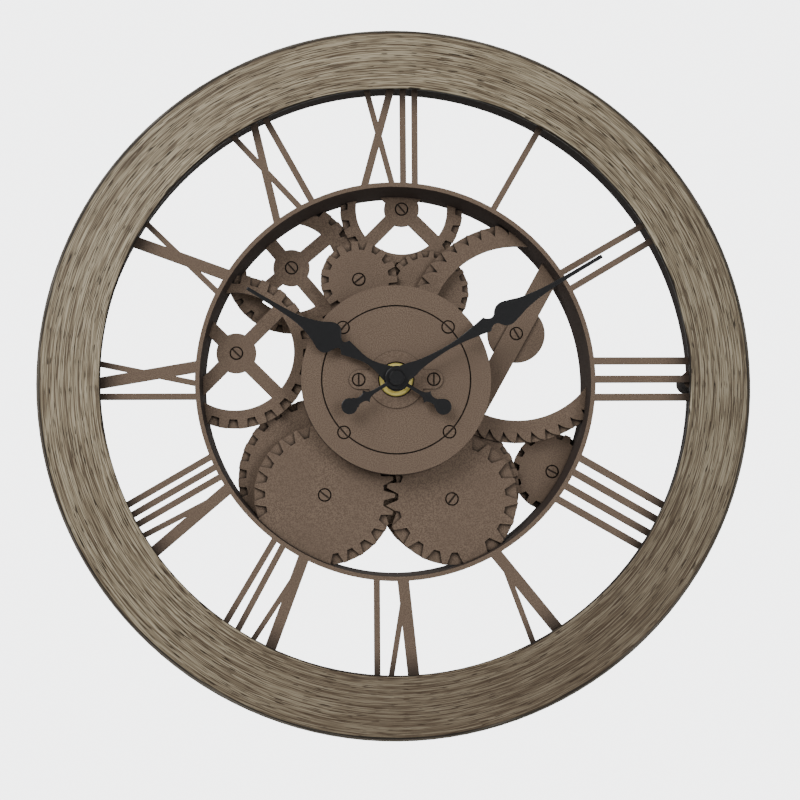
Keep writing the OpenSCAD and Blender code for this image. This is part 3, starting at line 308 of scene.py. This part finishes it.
# Glass-fibre board under green solder mask: glossy, with the tracks a paler green below it.
def solder_mask():
    mesh_size, track_height = 3 * MM, 0.035 * MM
    made, tree, shader = finish_of("green_solder_mask_on_glass_fibre", "#1f5a35", 0.3, coat=0.4)
    place = put(tree, "ShaderNodeTexCoord")["Object"]
    gap = put(tree, "ShaderNodeTexVoronoi", {"Vector": place, "Scale": 1 / mesh_size},
              feature="DISTANCE_TO_EDGE")["Distance"]
    track = put(tree, "ShaderNodeMapRange", {"Value": gap, "From Min": 0.1, "From Max": 0.14,
                                             "To Min": 1.0, "To Max": 0.0})[0]
    tone = put(tree, "ShaderNodeMix", {0: track, 6: linear("#1b4d2e"), 7: linear("#3f8a55")},
               data_type="RGBA")[2]
    relief = put(tree, "ShaderNodeBump", {"Height": track, "Distance": track_height})[0]
    link_up(tree, shader, {"Base Color": tone, "Normal": relief})
    return made


# A dry cell: a shrunk plastic sleeve round a nickel-plated can, whose bare metal shows at both ends.
def sleeved_cell():
    bare_end, fade, ripple, ripple_depth = 1.6 * MM, 0.1 * MM, 2.5, 0.05 * MM
    made, tree, shader = finish_of("shrink_sleeve_on_nickel_plated_can", "#2b3238", 0.3)
    low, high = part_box("battery")
    middle, sleeved = (low.x + high.x) / 2, (high.x - low.x) / 2 - bare_end
    along = put(tree, "ShaderNodeSeparateXYZ", {0: put(tree, "ShaderNodeTexCoord")["Object"]})[0]
    along = put(tree, "ShaderNodeMath", {0: along, 1: middle}, operation="SUBTRACT")[0]
    along = put(tree, "ShaderNodeMath", {0: along}, operation="ABSOLUTE")[0]
    bare = put(tree, "ShaderNodeMapRange", {"Value": along, "From Min": sleeved,
                                            "From Max": sleeved + fade})[0]
    film = grains(tree, ripple)
    tone = put(tree, "ShaderNodeMix", {0: film, 6: linear("#252b31"), 7: linear("#39424b")},
               data_type="RGBA")[2]
    tone = put(tree, "ShaderNodeMix", {0: bare, 6: tone, 7: linear("#b9bbbd")}, data_type="RGBA")[2]
    relief = put(tree, "ShaderNodeBump", {"Height": film, "Distance": ripple_depth})[0]
    link_up(tree, shader, {"Base Color": tone, "Metallic": bare, "Normal": relief})
    return made


DRAWN_UPWARDS = (1, 1, 0.08)
ROLLED_SIDEWAYS = (0.1, 1, 1)
WOOD = comb_brushed_paint()
PAINT = brown_metallic_spray()
BLACK = black_powder_coat()
BRASS = turned_brass()
CASE = spark_grain("black_abs_with_spark_grain", "#1d1e20", "#2c2d30", 0.5, 0.3)
RUBBER = spark_grain("black_nitrile_rubber", "#151515", "#222222", 0.75, 0.2)
ACETAL = spark_grain("natural_acetal", "#d9d5c6", "#ece9de", 0.35, 0.4)
MAGNET = spark_grain("bonded_ferrite_magnet", "#3a3b3e", "#55565a", 0.4, 0.2)
NICKEL = plated_steel("nickel_plated_steel", "#a9abad", "#cfd1d3", 0.3, DRAWN_UPWARDS)
ZINC = plated_steel("zinc_plated_steel", "#9fa2a4", "#c3c6c8", 0.38, ROLLED_SIDEWAYS)
COPPER = enamelled_copper()
BOARD = solder_mask()
CELL = sleeved_cell()


# Pieces made with Geometry Nodes

def tree_with(name, sizes):
    """A new Geometry Nodes tree with a mesh in, a mesh out, and a named input for each size."""
    tree = bpy.data.node_groups.new(name, "GeometryNodeTree")
    tree.interface.new_socket("Mesh", in_out="INPUT", socket_type="NodeSocketGeometry")
    tree.interface.new_socket("Mesh", in_out="OUTPUT", socket_type="NodeSocketGeometry")
    for size in sizes:
        tree.interface.new_socket(size, in_out="INPUT", socket_type="NodeSocketFloat")
    return tree


def made_by(tree, name, places, turns, sizes, body, node):
    """Runs a tree on points, keeps the result as a plain mesh, and puts it in the node's place."""
    seed = bpy.data.meshes.new(name)
    seed.from_pydata(places, [], [])
    seed.attributes.new("turn", "FLOAT", "POINT").data.foreach_set("value", turns)
    source = bpy.data.objects.new(name + "_points", seed)
    bpy.context.scene.collection.objects.link(source)
    maker = source.modifiers.new("maker", "NODES")
    maker.node_group = tree
    for socket in tree.interface.items_tree:
        if socket.item_type == "SOCKET" and socket.in_out == "INPUT" and socket.name in sizes:
            maker[socket.identifier] = sizes[socket.name]
    bpy.context.view_layer.update()
    ready = source.evaluated_get(bpy.context.evaluated_depsgraph_get())
    mesh = bpy.data.meshes.new_from_object(ready)
    source.modifiers.clear()
    bpy.data.objects.remove(source)
    return piece_of(name, mesh, body, node)


def piece_of(name, mesh, body, node):
    """A finished mesh as a piece that rides on a body and stands for a CAD node."""
    piece = bpy.data.objects.new(name, mesh)
    bpy.context.scene.collection.objects.link(piece)
    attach(piece, body)
    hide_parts(node)
    return piece


# The corners of a screw's head and shank, and how the head's rim rounds over: the share of the rim's
# height that each step rises, and how far it draws in
HEAD_CORNERS, SHANK_CORNERS = 48, 32
RIM_STEPS = [(0.55, 0.98), (0.3, 0.965), (0.15, 0.96)]
WELD = 0.001 * MM


def slotted_screw_tree(finish):
    """Cheese-head screws with a softened rim and a straight slot, one at each point, turned by the
    point's own angle. Each points along Y, with its head towards the viewer."""
    tree = tree_with("slotted_screw", ["Head Radius", "Head Height", "Rim", "Slot Width", "Slot Depth",
                                       "Shank Radius", "Length"])
    size = put(tree, "NodeGroupInput")
    flat = put(tree, "GeometryNodeMeshCircle", {"Vertices": HEAD_CORNERS, "Radius": size["Head Radius"]},
               fill_type="NGON")[0]
    side = put(tree, "ShaderNodeMath", {0: size["Head Height"], 1: size["Rim"]}, operation="SUBTRACT")[0]
    up = put(tree, "ShaderNodeCombineXYZ", {"Z": 1.0})[0]
    pulled = put(tree, "GeometryNodeExtrudeMesh", {"Mesh": flat, "Offset": up, "Offset Scale": side,
                                                   "Individual": False}, mode="FACES")
    shell, top = pulled["Mesh"], pulled["Top"]
    for share, shrink in RIM_STEPS:
        rise = put(tree, "ShaderNodeMath", {0: size["Rim"], 1: share}, operation="MULTIPLY")[0]
        pulled = put(tree, "GeometryNodeExtrudeMesh", {"Mesh": shell, "Selection": top, "Offset": up,
                                                       "Offset Scale": rise, "Individual": False},
                     mode="FACES")
        top = pulled["Top"]
        shell = put(tree, "GeometryNodeScaleElements", {"Geometry": pulled["Mesh"], "Selection": top,
                                                        "Scale": shrink})[0]
    back = put(tree, "GeometryNodeFlipFaces", {"Mesh": flat})[0]
    head = put(tree, "GeometryNodeJoinGeometry", {"Geometry": shell})
    tree.links.new(back, head[0].node.inputs[0])
    head = put(tree, "GeometryNodeMergeByDistance", {"Geometry": head[0], "Distance": WELD})[0]
    # The bar that cuts the slot passes the rim, and half of its height stands above the head
    long = put(tree, "ShaderNodeMath", {0: size["Head Radius"], 1: 2.5}, operation="MULTIPLY")[0]
    deep = put(tree, "ShaderNodeMath", {0: size["Slot Depth"], 1: 2.0}, operation="MULTIPLY")[0]
    bar = put(tree, "ShaderNodeCombineXYZ", {"X": long, "Y": size["Slot Width"], "Z": deep})[0]
    bar = put(tree, "GeometryNodeMeshCube", {"Size": bar})[0]
    lift = put(tree, "ShaderNodeCombineXYZ", {"Z": size["Head Height"]})[0]
    bar = put(tree, "GeometryNodeTransform", {"Geometry": bar, "Translation": lift})[0]
    head = put(tree, "GeometryNodeMeshBoolean", {"Mesh 1": head, "Mesh 2": bar}, operation="DIFFERENCE",
               solver="EXACT")[0]
    shank = put(tree, "GeometryNodeMeshCylinder", {"Vertices": SHANK_CORNERS, "Depth": size["Length"],
                                                   "Radius": size["Shank Radius"]})[0]
    drop = put(tree, "ShaderNodeMath", {0: size["Length"], 1: -0.5}, operation="MULTIPLY")[0]
    drop = put(tree, "ShaderNodeCombineXYZ", {"Z": drop})[0]
    shank = put(tree, "GeometryNodeTransform", {"Geometry": shank, "Translation": drop})[0]
    screw = put(tree, "GeometryNodeJoinGeometry", {"Geometry": head})
    tree.links.new(shank, screw[0].node.inputs[0])
    screw = put(tree, "GeometryNodeTransform", {"Geometry": screw[0], "Rotation": (math.pi / 2, 0, 0)})[0]
    angle = put(tree, "GeometryNodeInputNamedAttribute", {"Name": "turn"}, data_type="FLOAT")[0]
    spin = put(tree, "FunctionNodeAxisAngleToRotation", {"Axis": (0, -1, 0), "Angle": angle})[0]
    many = put(tree, "GeometryNodeInstanceOnPoints", {"Points": size["Mesh"], "Instance": screw,
                                                      "Rotation": spin})[0]
    many = put(tree, "GeometryNodeRealizeInstances", {"Geometry": many})[0]
    many = put(tree, "GeometryNodeSetMaterial", {"Geometry": many, "Material": finish})[0]
    put(tree, "NodeGroupOutput", {"Mesh": many})
    return tree


def solids_of(name):
    """The separate solids of a CAD node, each as the lowest and highest corner of its box, in order
    of their direction from the clock's axis."""
    copy = bmesh.new()
    copy.from_mesh(nodes[name].data)
    bmesh.ops.remove_doubles(copy, verts=copy.verts, dist=WELD)
    boxes, seen = [], set()
    for first in copy.verts:
        if first in seen:
            continue
        queue, solid = [first], []
        seen.add(first)
        while queue:
            corner = queue.pop()
            solid.append(corner.co.copy())
            for edge in corner.link_edges:
                other = edge.other_vert(corner)
                if other not in seen:
                    seen.add(other)
                    queue.append(other)
        boxes.append([Vector([pick(c[i] for c in solid) for i in range(3)]) for pick in (min, max)])
    copy.free()
    return sorted(boxes, key=lambda box: math.atan2(sum(b.z for b in box), sum(b.x for b in box))
                  % (2 * math.pi))


# Each row: the node, and the direction of each screw's slot in degrees
SLOTS = [
    ("gear_screws", [-60, -50, 38, -48, -45, -38, 52, -28]),
    ("centre_screws", [-45, 50, -50, 45]),
    ("yoke_screws", [90, 90]),
]
HEAD_HEIGHT = 1.2 * MM
SCREW = {"Head Height": HEAD_HEIGHT, "Rim": 0.25 * MM, "Slot Width": 0.7 * MM, "Slot Depth": 0.7 * MM,
         "Shank Radius": 1.4 * MM}
screws = slotted_screw_tree(PAINT)
for node, angles in SLOTS:
    boxes = solids_of(node)
    low, high = boxes[0]
    sizes = SCREW | {"Head Radius": (high.x - low.x) / 2, "Length": high.y - low.y - HEAD_HEIGHT}
    seats = [((a.x + b.x) / 2, a.y + HEAD_HEIGHT, (a.z + b.z) / 2) for a, b in boxes]
    made_by(screws, "slotted_" + node, seats, [math.radians(a) for a in angles], sizes, "clock", node)


# The coil's faces: points on a turn of wire, corners of the wire, of the spool and of a cheek
TURN_POINTS, WIRE_CORNERS, SPOOL_CORNERS, CHEEK_CORNERS = 20, 6, 32, 48


def wound_coil_tree(wire, bobbin, core):
    """A coil on its bobbin at each point, along X: close turns of wire between two cheeks, on an iron
    core with square ends. The faces of the wire are marked, so that they get their finish last."""
    tree = tree_with("wound_coil", ["Length", "Winding Length", "Winding Radius", "Wire Diameter",
                                    "Cheek Radius", "Cheek Thickness", "Core Width"])
    size = put(tree, "NodeGroupInput")
    wire_r = put(tree, "ShaderNodeMath", {0: size["Wire Diameter"], 1: 0.5}, operation="MULTIPLY")[0]
    turn_r = put(tree, "ShaderNodeMath", {0: size["Winding Radius"], 1: wire_r}, operation="SUBTRACT")[0]
    room = put(tree, "ShaderNodeMath", {0: size["Cheek Thickness"], 1: -2.0, 2: size["Winding Length"]},
               operation="MULTIPLY_ADD")[0]
    room = put(tree, "ShaderNodeMath", {0: room, 1: size["Wire Diameter"]}, operation="SUBTRACT")[0]
    turns = put(tree, "ShaderNodeMath", {0: room, 1: size["Wire Diameter"]}, operation="DIVIDE")[0]
    path = put(tree, "GeometryNodeCurveSpiral", {"Resolution": TURN_POINTS, "Rotations": turns,
                                                 "Height": room, "Start Radius": turn_r,
                                                 "End Radius": turn_r})[0]
    round_wire = put(tree, "GeometryNodeCurvePrimitiveCircle", {"Resolution": WIRE_CORNERS,
                                                                "Radius": wire_r})[0]
    coil = put(tree, "GeometryNodeCurveToMesh", {"Curve": path, "Profile Curve": round_wire,
                                                 "Fill Caps": True})[0]
    back = put(tree, "ShaderNodeMath", {0: room, 1: -0.5}, operation="MULTIPLY")[0]
    back = put(tree, "ShaderNodeCombineXYZ", {"Z": back})[0]
    coil = put(tree, "GeometryNodeTransform", {"Geometry": coil, "Translation": back})[0]
    coil = put(tree, "GeometryNodeStoreNamedAttribute", {"Geometry": coil, "Name": "wire", "Value": True},
               data_type="BOOLEAN", domain="FACE")[0]
    inner_r = put(tree, "ShaderNodeMath", {0: turn_r, 1: wire_r}, operation="SUBTRACT")[0]
    spool = put(tree, "GeometryNodeMeshCylinder", {"Vertices": SPOOL_CORNERS, "Radius": inner_r,
                                                   "Depth": room})[0]
    cheek = put(tree, "GeometryNodeMeshCylinder", {"Vertices": CHEEK_CORNERS,
                                                   "Radius": size["Cheek Radius"],
                                                   "Depth": size["Cheek Thickness"]})[0]
    parts = [spool]
    for side in (0.5, -0.5):
        way = put(tree, "ShaderNodeMath", {0: size["Winding Length"], 1: size["Cheek Thickness"]},
                  operation="SUBTRACT")[0]
        way = put(tree, "ShaderNodeMath", {0: way, 1: side}, operation="MULTIPLY")[0]
        way = put(tree, "ShaderNodeCombineXYZ", {"Z": way})[0]
        parts.append(put(tree, "GeometryNodeTransform", {"Geometry": cheek, "Translation": way})[0])
    moulded = put(tree, "GeometryNodeJoinGeometry")[0]
    for part in parts:
        tree.links.new(part, moulded.node.inputs[0])
    moulded = put(tree, "GeometryNodeSetMaterial", {"Geometry": moulded, "Material": bobbin})[0]
    bar = put(tree, "ShaderNodeCombineXYZ", {"X": size["Core Width"], "Y": size["Core Width"],
                                             "Z": size["Length"]})[0]
    bar = put(tree, "GeometryNodeMeshCube", {"Size": bar})[0]
    bar = put(tree, "GeometryNodeSetMaterial", {"Geometry": bar, "Material": core})[0]
    whole = put(tree, "GeometryNodeJoinGeometry")[0]
    for part in (coil, moulded, bar):
        tree.links.new(part, whole.node.inputs[0])
    whole = put(tree, "GeometryNodeTransform", {"Geometry": whole, "Rotation": (0, math.pi / 2, 0)})[0]
    whole = put(tree, "GeometryNodeInstanceOnPoints", {"Points": size["Mesh"], "Instance": whole})[0]
    whole = put(tree, "GeometryNodeRealizeInstances", {"Geometry": whole})[0]
    marked = put(tree, "GeometryNodeInputNamedAttribute", {"Name": "wire"}, data_type="BOOLEAN")[0]
    whole = put(tree, "GeometryNodeSetMaterial", {"Geometry": whole, "Selection": marked,
                                                  "Material": wire})[0]
    put(tree, "NodeGroupOutput", {"Mesh": whole})
    return tree


low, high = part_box("coil")
CORE_ENDS = 8.4 * MM
COIL = {"Length": high.x - low.x, "Winding Length": high.x - low.x - CORE_ENDS,
        "Winding Radius": 3.1 * MM, "Wire Diameter": 0.3 * MM, "Cheek Radius": (high.y - low.y) / 2,
        "Cheek Thickness": 0.8 * MM, "Core Width": 2.4 * MM}
made_by(wound_coil_tree(COPPER, ACETAL, NICKEL), "wound_coil", [(low + high) / 2], [0], COIL, "clock",
        "coil")


# Hands

# The outline of each hand as runs of [distance from the axis, half width] in millimetres. A run is
# one smooth curve, and the runs meet in the points of the barbs.
MINUTE_BLADE = [[(3, 3.9), (7.5, 3.1), (11, 2.1), (16.5, 1.4), (24, 0.93), (31, 1.25), (38, 2.25),
                 (44.4, 3.4)],
                [(44.4, 3.4), (45.4, 2.2), (47.2, 1.55), (48.7, 2.1), (49.9, 3.6), (51.6, 4.8), (54, 5.18),
                 (57.5, 4.3), (62, 2.9), (67, 1.95), (72, 1.4), (78, 1.05), (86, 0.92), (94, 0.85),
                 (100.4, 0.82), (101.1, 0.4)]]
HOUR_BLADE = [[(3, 4.1), (7, 2.6), (11, 1.55), (14, 1.25), (17, 1.5), (21, 2.4), (25.2, 3.4)],
              [(25.2, 3.4), (26.2, 2.1), (27.3, 1.65), (28.6, 2.6), (29.6, 4.2), (31.1, 6.2), (33.3, 6.8),
               (35.6, 6.3), (39.2, 4.4), (44, 2.7), (49.5, 1.6), (56, 1.1), (64, 0.85), (72.7, 0.7),
               (73.4, 0.4)]]
# The tail is the same on both hands, and runs down from the axis to the ball
TAIL = [[(3, 1.0), (6, 0.8), (10.5, 0.8), (13, 1.15), (14.3, 2.0), (15, 3.0)],
        [(15, 3.0), (15.7, 1.9), (17, 1.4), (18.3, 1.35), (19.3, 1.6), (19.9, 2.2)]]


# How many steps a curve takes between two marks, round the side of a hub, round a ball and round the
# bore, and how far the stamping rounds the edges
RUN_STEPS, HUB_STEPS, BALL_STEPS, BORE_STEPS = 6, 20, 24, 40
SOFT_EDGE = 0.22 * MM


def even_steps(first, last, count):
    """The angles from the first to the last in even steps."""
    return [first + (last - first) * k / count for k in range(count + 1)]


def smooth_run(marks):
    """A smooth curve through the marks of one run. Each step lies between two marks, and is weighed
    from them and from the marks before and after."""
    ends = [marks[0]] + marks + [marks[-1]]
    out = []
    for around in zip(ends, ends[1:], ends[2:], ends[3:]):
        for k in range(RUN_STEPS):
            t = k / RUN_STEPS
            out.append(tuple(
                (2 * near + (far - before) * t + (2 * before - 5 * near + 4 * far - after) * t * t
                 + (3 * near - before - 3 * far + after) * t ** 3) / 2
                for before, near, far, after in zip(*around)))
    return out + [marks[-1]]


def hub_arc(above, below, hub_r):
    """The hub's edge between the root of the blade and the root of the tail."""
    first = math.asin(min(1, above[0] / hub_r))
    last = math.pi - math.asin(min(1, below[0] / hub_r))
    return [(hub_r * math.sin(a), hub_r * math.cos(a)) for a in even_steps(first, last, HUB_STEPS)]


def spade_hand(name, node, body, blade, ball_at, ball_r, hub_r, bore_r):
    """A stamped hand with softened edges: blade, hub, barbed tail and ball, cut from one sheet. It
    points where the CAD hand points and has its thickness."""
    right = [(w, d) for run in blade for d, w in smooth_run(run) if math.hypot(w, d) > hub_r]
    down = [(w, -d) for run in TAIL for d, w in smooth_run(run) if math.hypot(w, d) > hub_r]
    start = math.asin(min(1, down[-1][0] / ball_r))
    ball = [(ball_r * math.sin(a), -ball_at + ball_r * math.cos(a))
            for a in even_steps(start, math.pi, BALL_STEPS)]
    half = right[::-1] + hub_arc(right[0], down[0], hub_r) + down + ball
    outline = half + [(-x, z) for x, z in reversed(half[:-1])]
    bore = [(bore_r * math.cos(a), bore_r * math.sin(a))
            for a in even_steps(0, math.tau, BORE_STEPS)[:-1]]
    low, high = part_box(node)
    sheet = bpy.data.curves.new(name, "CURVE")
    sheet.dimensions, sheet.fill_mode = "2D", "BOTH"
    sheet.extrude, sheet.bevel_depth = (high.y - low.y) / 2 - SOFT_EDGE, SOFT_EDGE
    sheet.bevel_resolution, sheet.offset = 2, -SOFT_EDGE
    for ring in (outline, bore):
        spline = sheet.splines.new("POLY")
        spline.points.add(len(ring) - 1)
        spline.points.foreach_set("co", [v for x, z in ring for v in (x * MM, z * MM, 0, 1)])
        spline.use_cyclic_u = True
    source = bpy.data.objects.new(name + "_sheet", sheet)
    bpy.context.scene.collection.objects.link(source)
    bpy.context.view_layer.update()
    mesh = bpy.data.meshes.new_from_object(
        source.evaluated_get(bpy.context.evaluated_depsgraph_get()))
    bpy.data.objects.remove(source)
    tip = max((v.co for v in nodes[node].data.vertices), key=lambda c: c.x * c.x + c.z * c.z)
    stand = Matrix.Translation((0, (low.y + high.y) / 2, 0)) \
        @ Matrix.Rotation(math.atan2(tip.x, tip.z), 4, "Y") @ Matrix.Rotation(math.pi / 2, 4, "X")
    mesh.transform(stand)
    mesh.materials.clear()
    mesh.materials.append(BLACK)
    return piece_of(name, mesh, body, node)


spade_hand("spade_minute_hand", "minute_hand", "minute", MINUTE_BLADE, ball_at=23.2, ball_r=3.4,
           hub_r=4.9, bore_r=1.6)
spade_hand("spade_hour_hand", "hour_hand", "hour", HOUR_BLADE, ball_at=22.9, ball_r=3.4, hub_r=5.4,
           bore_r=2.5)


# Finishes of the CAD nodes

FINISHES = {
    "frame": WOOD, "brass_nut": BRASS, "hour_hand": BLACK, "minute_hand": BLACK, "hand_cap": BLACK,
    "movement_case": CASE, "movement_cover": CASE, "setting_knob": CASE, "movement_washer": RUBBER,
    "circuit_board": BOARD, "coil": COPPER, "stator": NICKEL, "rotor": MAGNET, "battery": CELL,
    "battery_contacts": NICKEL, "hanger_plate": ZINC, "hanger_screws": ZINC, "frame_screw": ZINC,
    "minute_arbor": NICKEL, "intermediate_wheel": ACETAL, "second_wheel": ACETAL, "third_wheel": ACETAL,
    "centre_wheel": ACETAL, "motion_wheel": ACETAL, "hour_wheel": ACETAL,
}
for name, part in nodes.items():
    part.data.materials.clear()
    part.data.materials.append(FINISHES.get(name, PAINT))


# Camera, light and floor

# As the photograph was taken: from a little left of and below the middle, with a long lens
camera = bpy.data.objects.new("camera", bpy.data.cameras.new("camera"))
bpy.context.scene.collection.objects.link(camera)
bpy.context.scene.camera = camera
right = Vector((0.99877, -0.04811, -0.01142))
up = Vector((0.00645, -0.10228, 0.99473))
ahead = Vector((0.0490, 0.9936, 0.1018))
stand_point = (-0.07178, -1.49664, -0.16088)
camera.matrix_world = Matrix.Translation(stand_point) \
    @ Matrix((right, up, -ahead)).transposed().to_4x4()
camera.data.sensor_width = 36
camera.data.lens = 160.1
camera.data.clip_start, camera.data.clip_end = 0.05, 50


def soft_box(name, place, wide, high, power):
    """A large soft studio light that looks at the clock."""
    data = bpy.data.lights.new(name, "AREA")
    data.shape = "RECTANGLE"
    data.size, data.size_y, data.energy = wide, high, power
    lamp = bpy.data.objects.new(name, data)
    bpy.context.scene.collection.objects.link(lamp)
    lamp.location = place
    lamp.rotation_mode = "QUATERNION"
    lamp.rotation_quaternion = (-Vector(place)).to_track_quat("-Z", "Y")


soft_box("key_light", (-1.2, -1.4, 1.15), wide=1.4, high=1.4, power=31)
soft_box("front_light", (1.2, -1.9, 0.2), wide=0.9, high=0.9, power=13)
soft_box("edge_light", (0.95, -0.25, -1.1), wide=0.1, high=1.3, power=3)
soft_box("back_light", (0.2, 2.4, 0.3), wide=1.5, high=1.5, power=8)

world = bpy.data.worlds.new("studio")
bpy.context.scene.world = world
world.use_nodes = True
tree = world.node_tree
background = tree.nodes["Background"]
background.inputs["Color"].default_value = linear("#fbfcfd")
# The backdrop is near white to the camera and bright in the rims that mirror it from behind the
# clock, and gives the clock itself only a little light
CAMERA_GLOW, RIM_GLOW, FILL_LIGHT = 4.5, 0.5, 0.17
ray = put(tree, "ShaderNodeLightPath")
behind = put(tree, "ShaderNodeSeparateXYZ", {0: put(tree, "ShaderNodeTexCoord")["Generated"]})[1]
behind = put(tree, "ShaderNodeMapRange", {"Value": behind, "From Min": -0.3, "From Max": 0.2,
                                          "To Max": RIM_GLOW})[0]
mirrored = put(tree, "ShaderNodeMath", {0: ray["Is Glossy Ray"], 1: behind, 2: FILL_LIGHT},
               operation="MULTIPLY_ADD")[0]
glow = put(tree, "ShaderNodeMath", {0: ray["Is Camera Ray"], 1: CAMERA_GLOW, 2: mirrored},
           operation="MULTIPLY_ADD")[0]
tree.links.new(glow, background.inputs["Strength"])

# A plain pale floor, below the clock as it hangs
FLOOR_DROP, FLOOR_REACH = 0.45, 6
low = cad_box[0].z - FLOOR_DROP
corners = [(x * FLOOR_REACH, y * FLOOR_REACH, low) for x, y in ((-1, -1), (1, -1), (1, 1), (-1, 1))]
sheet = bpy.data.meshes.new("floor")
sheet.from_pydata(corners, [], [(0, 1, 2, 3)])
floor = bpy.data.objects.new("floor", sheet)
bpy.context.scene.collection.objects.link(floor)
paper, tree, shader = finish_of("pale_studio_paper", "#e9e9e8", 0.9)
fibre = grains(tree, 0.5)
tone = put(tree, "ShaderNodeMix", {0: fibre, 6: linear("#e7e7e6"), 7: linear("#ebebea")},
           data_type="RGBA")[2]
link_up(tree, shader, {"Base Color": tone})
floor.data.materials.append(paper)

bpy.context.view_layer.update()
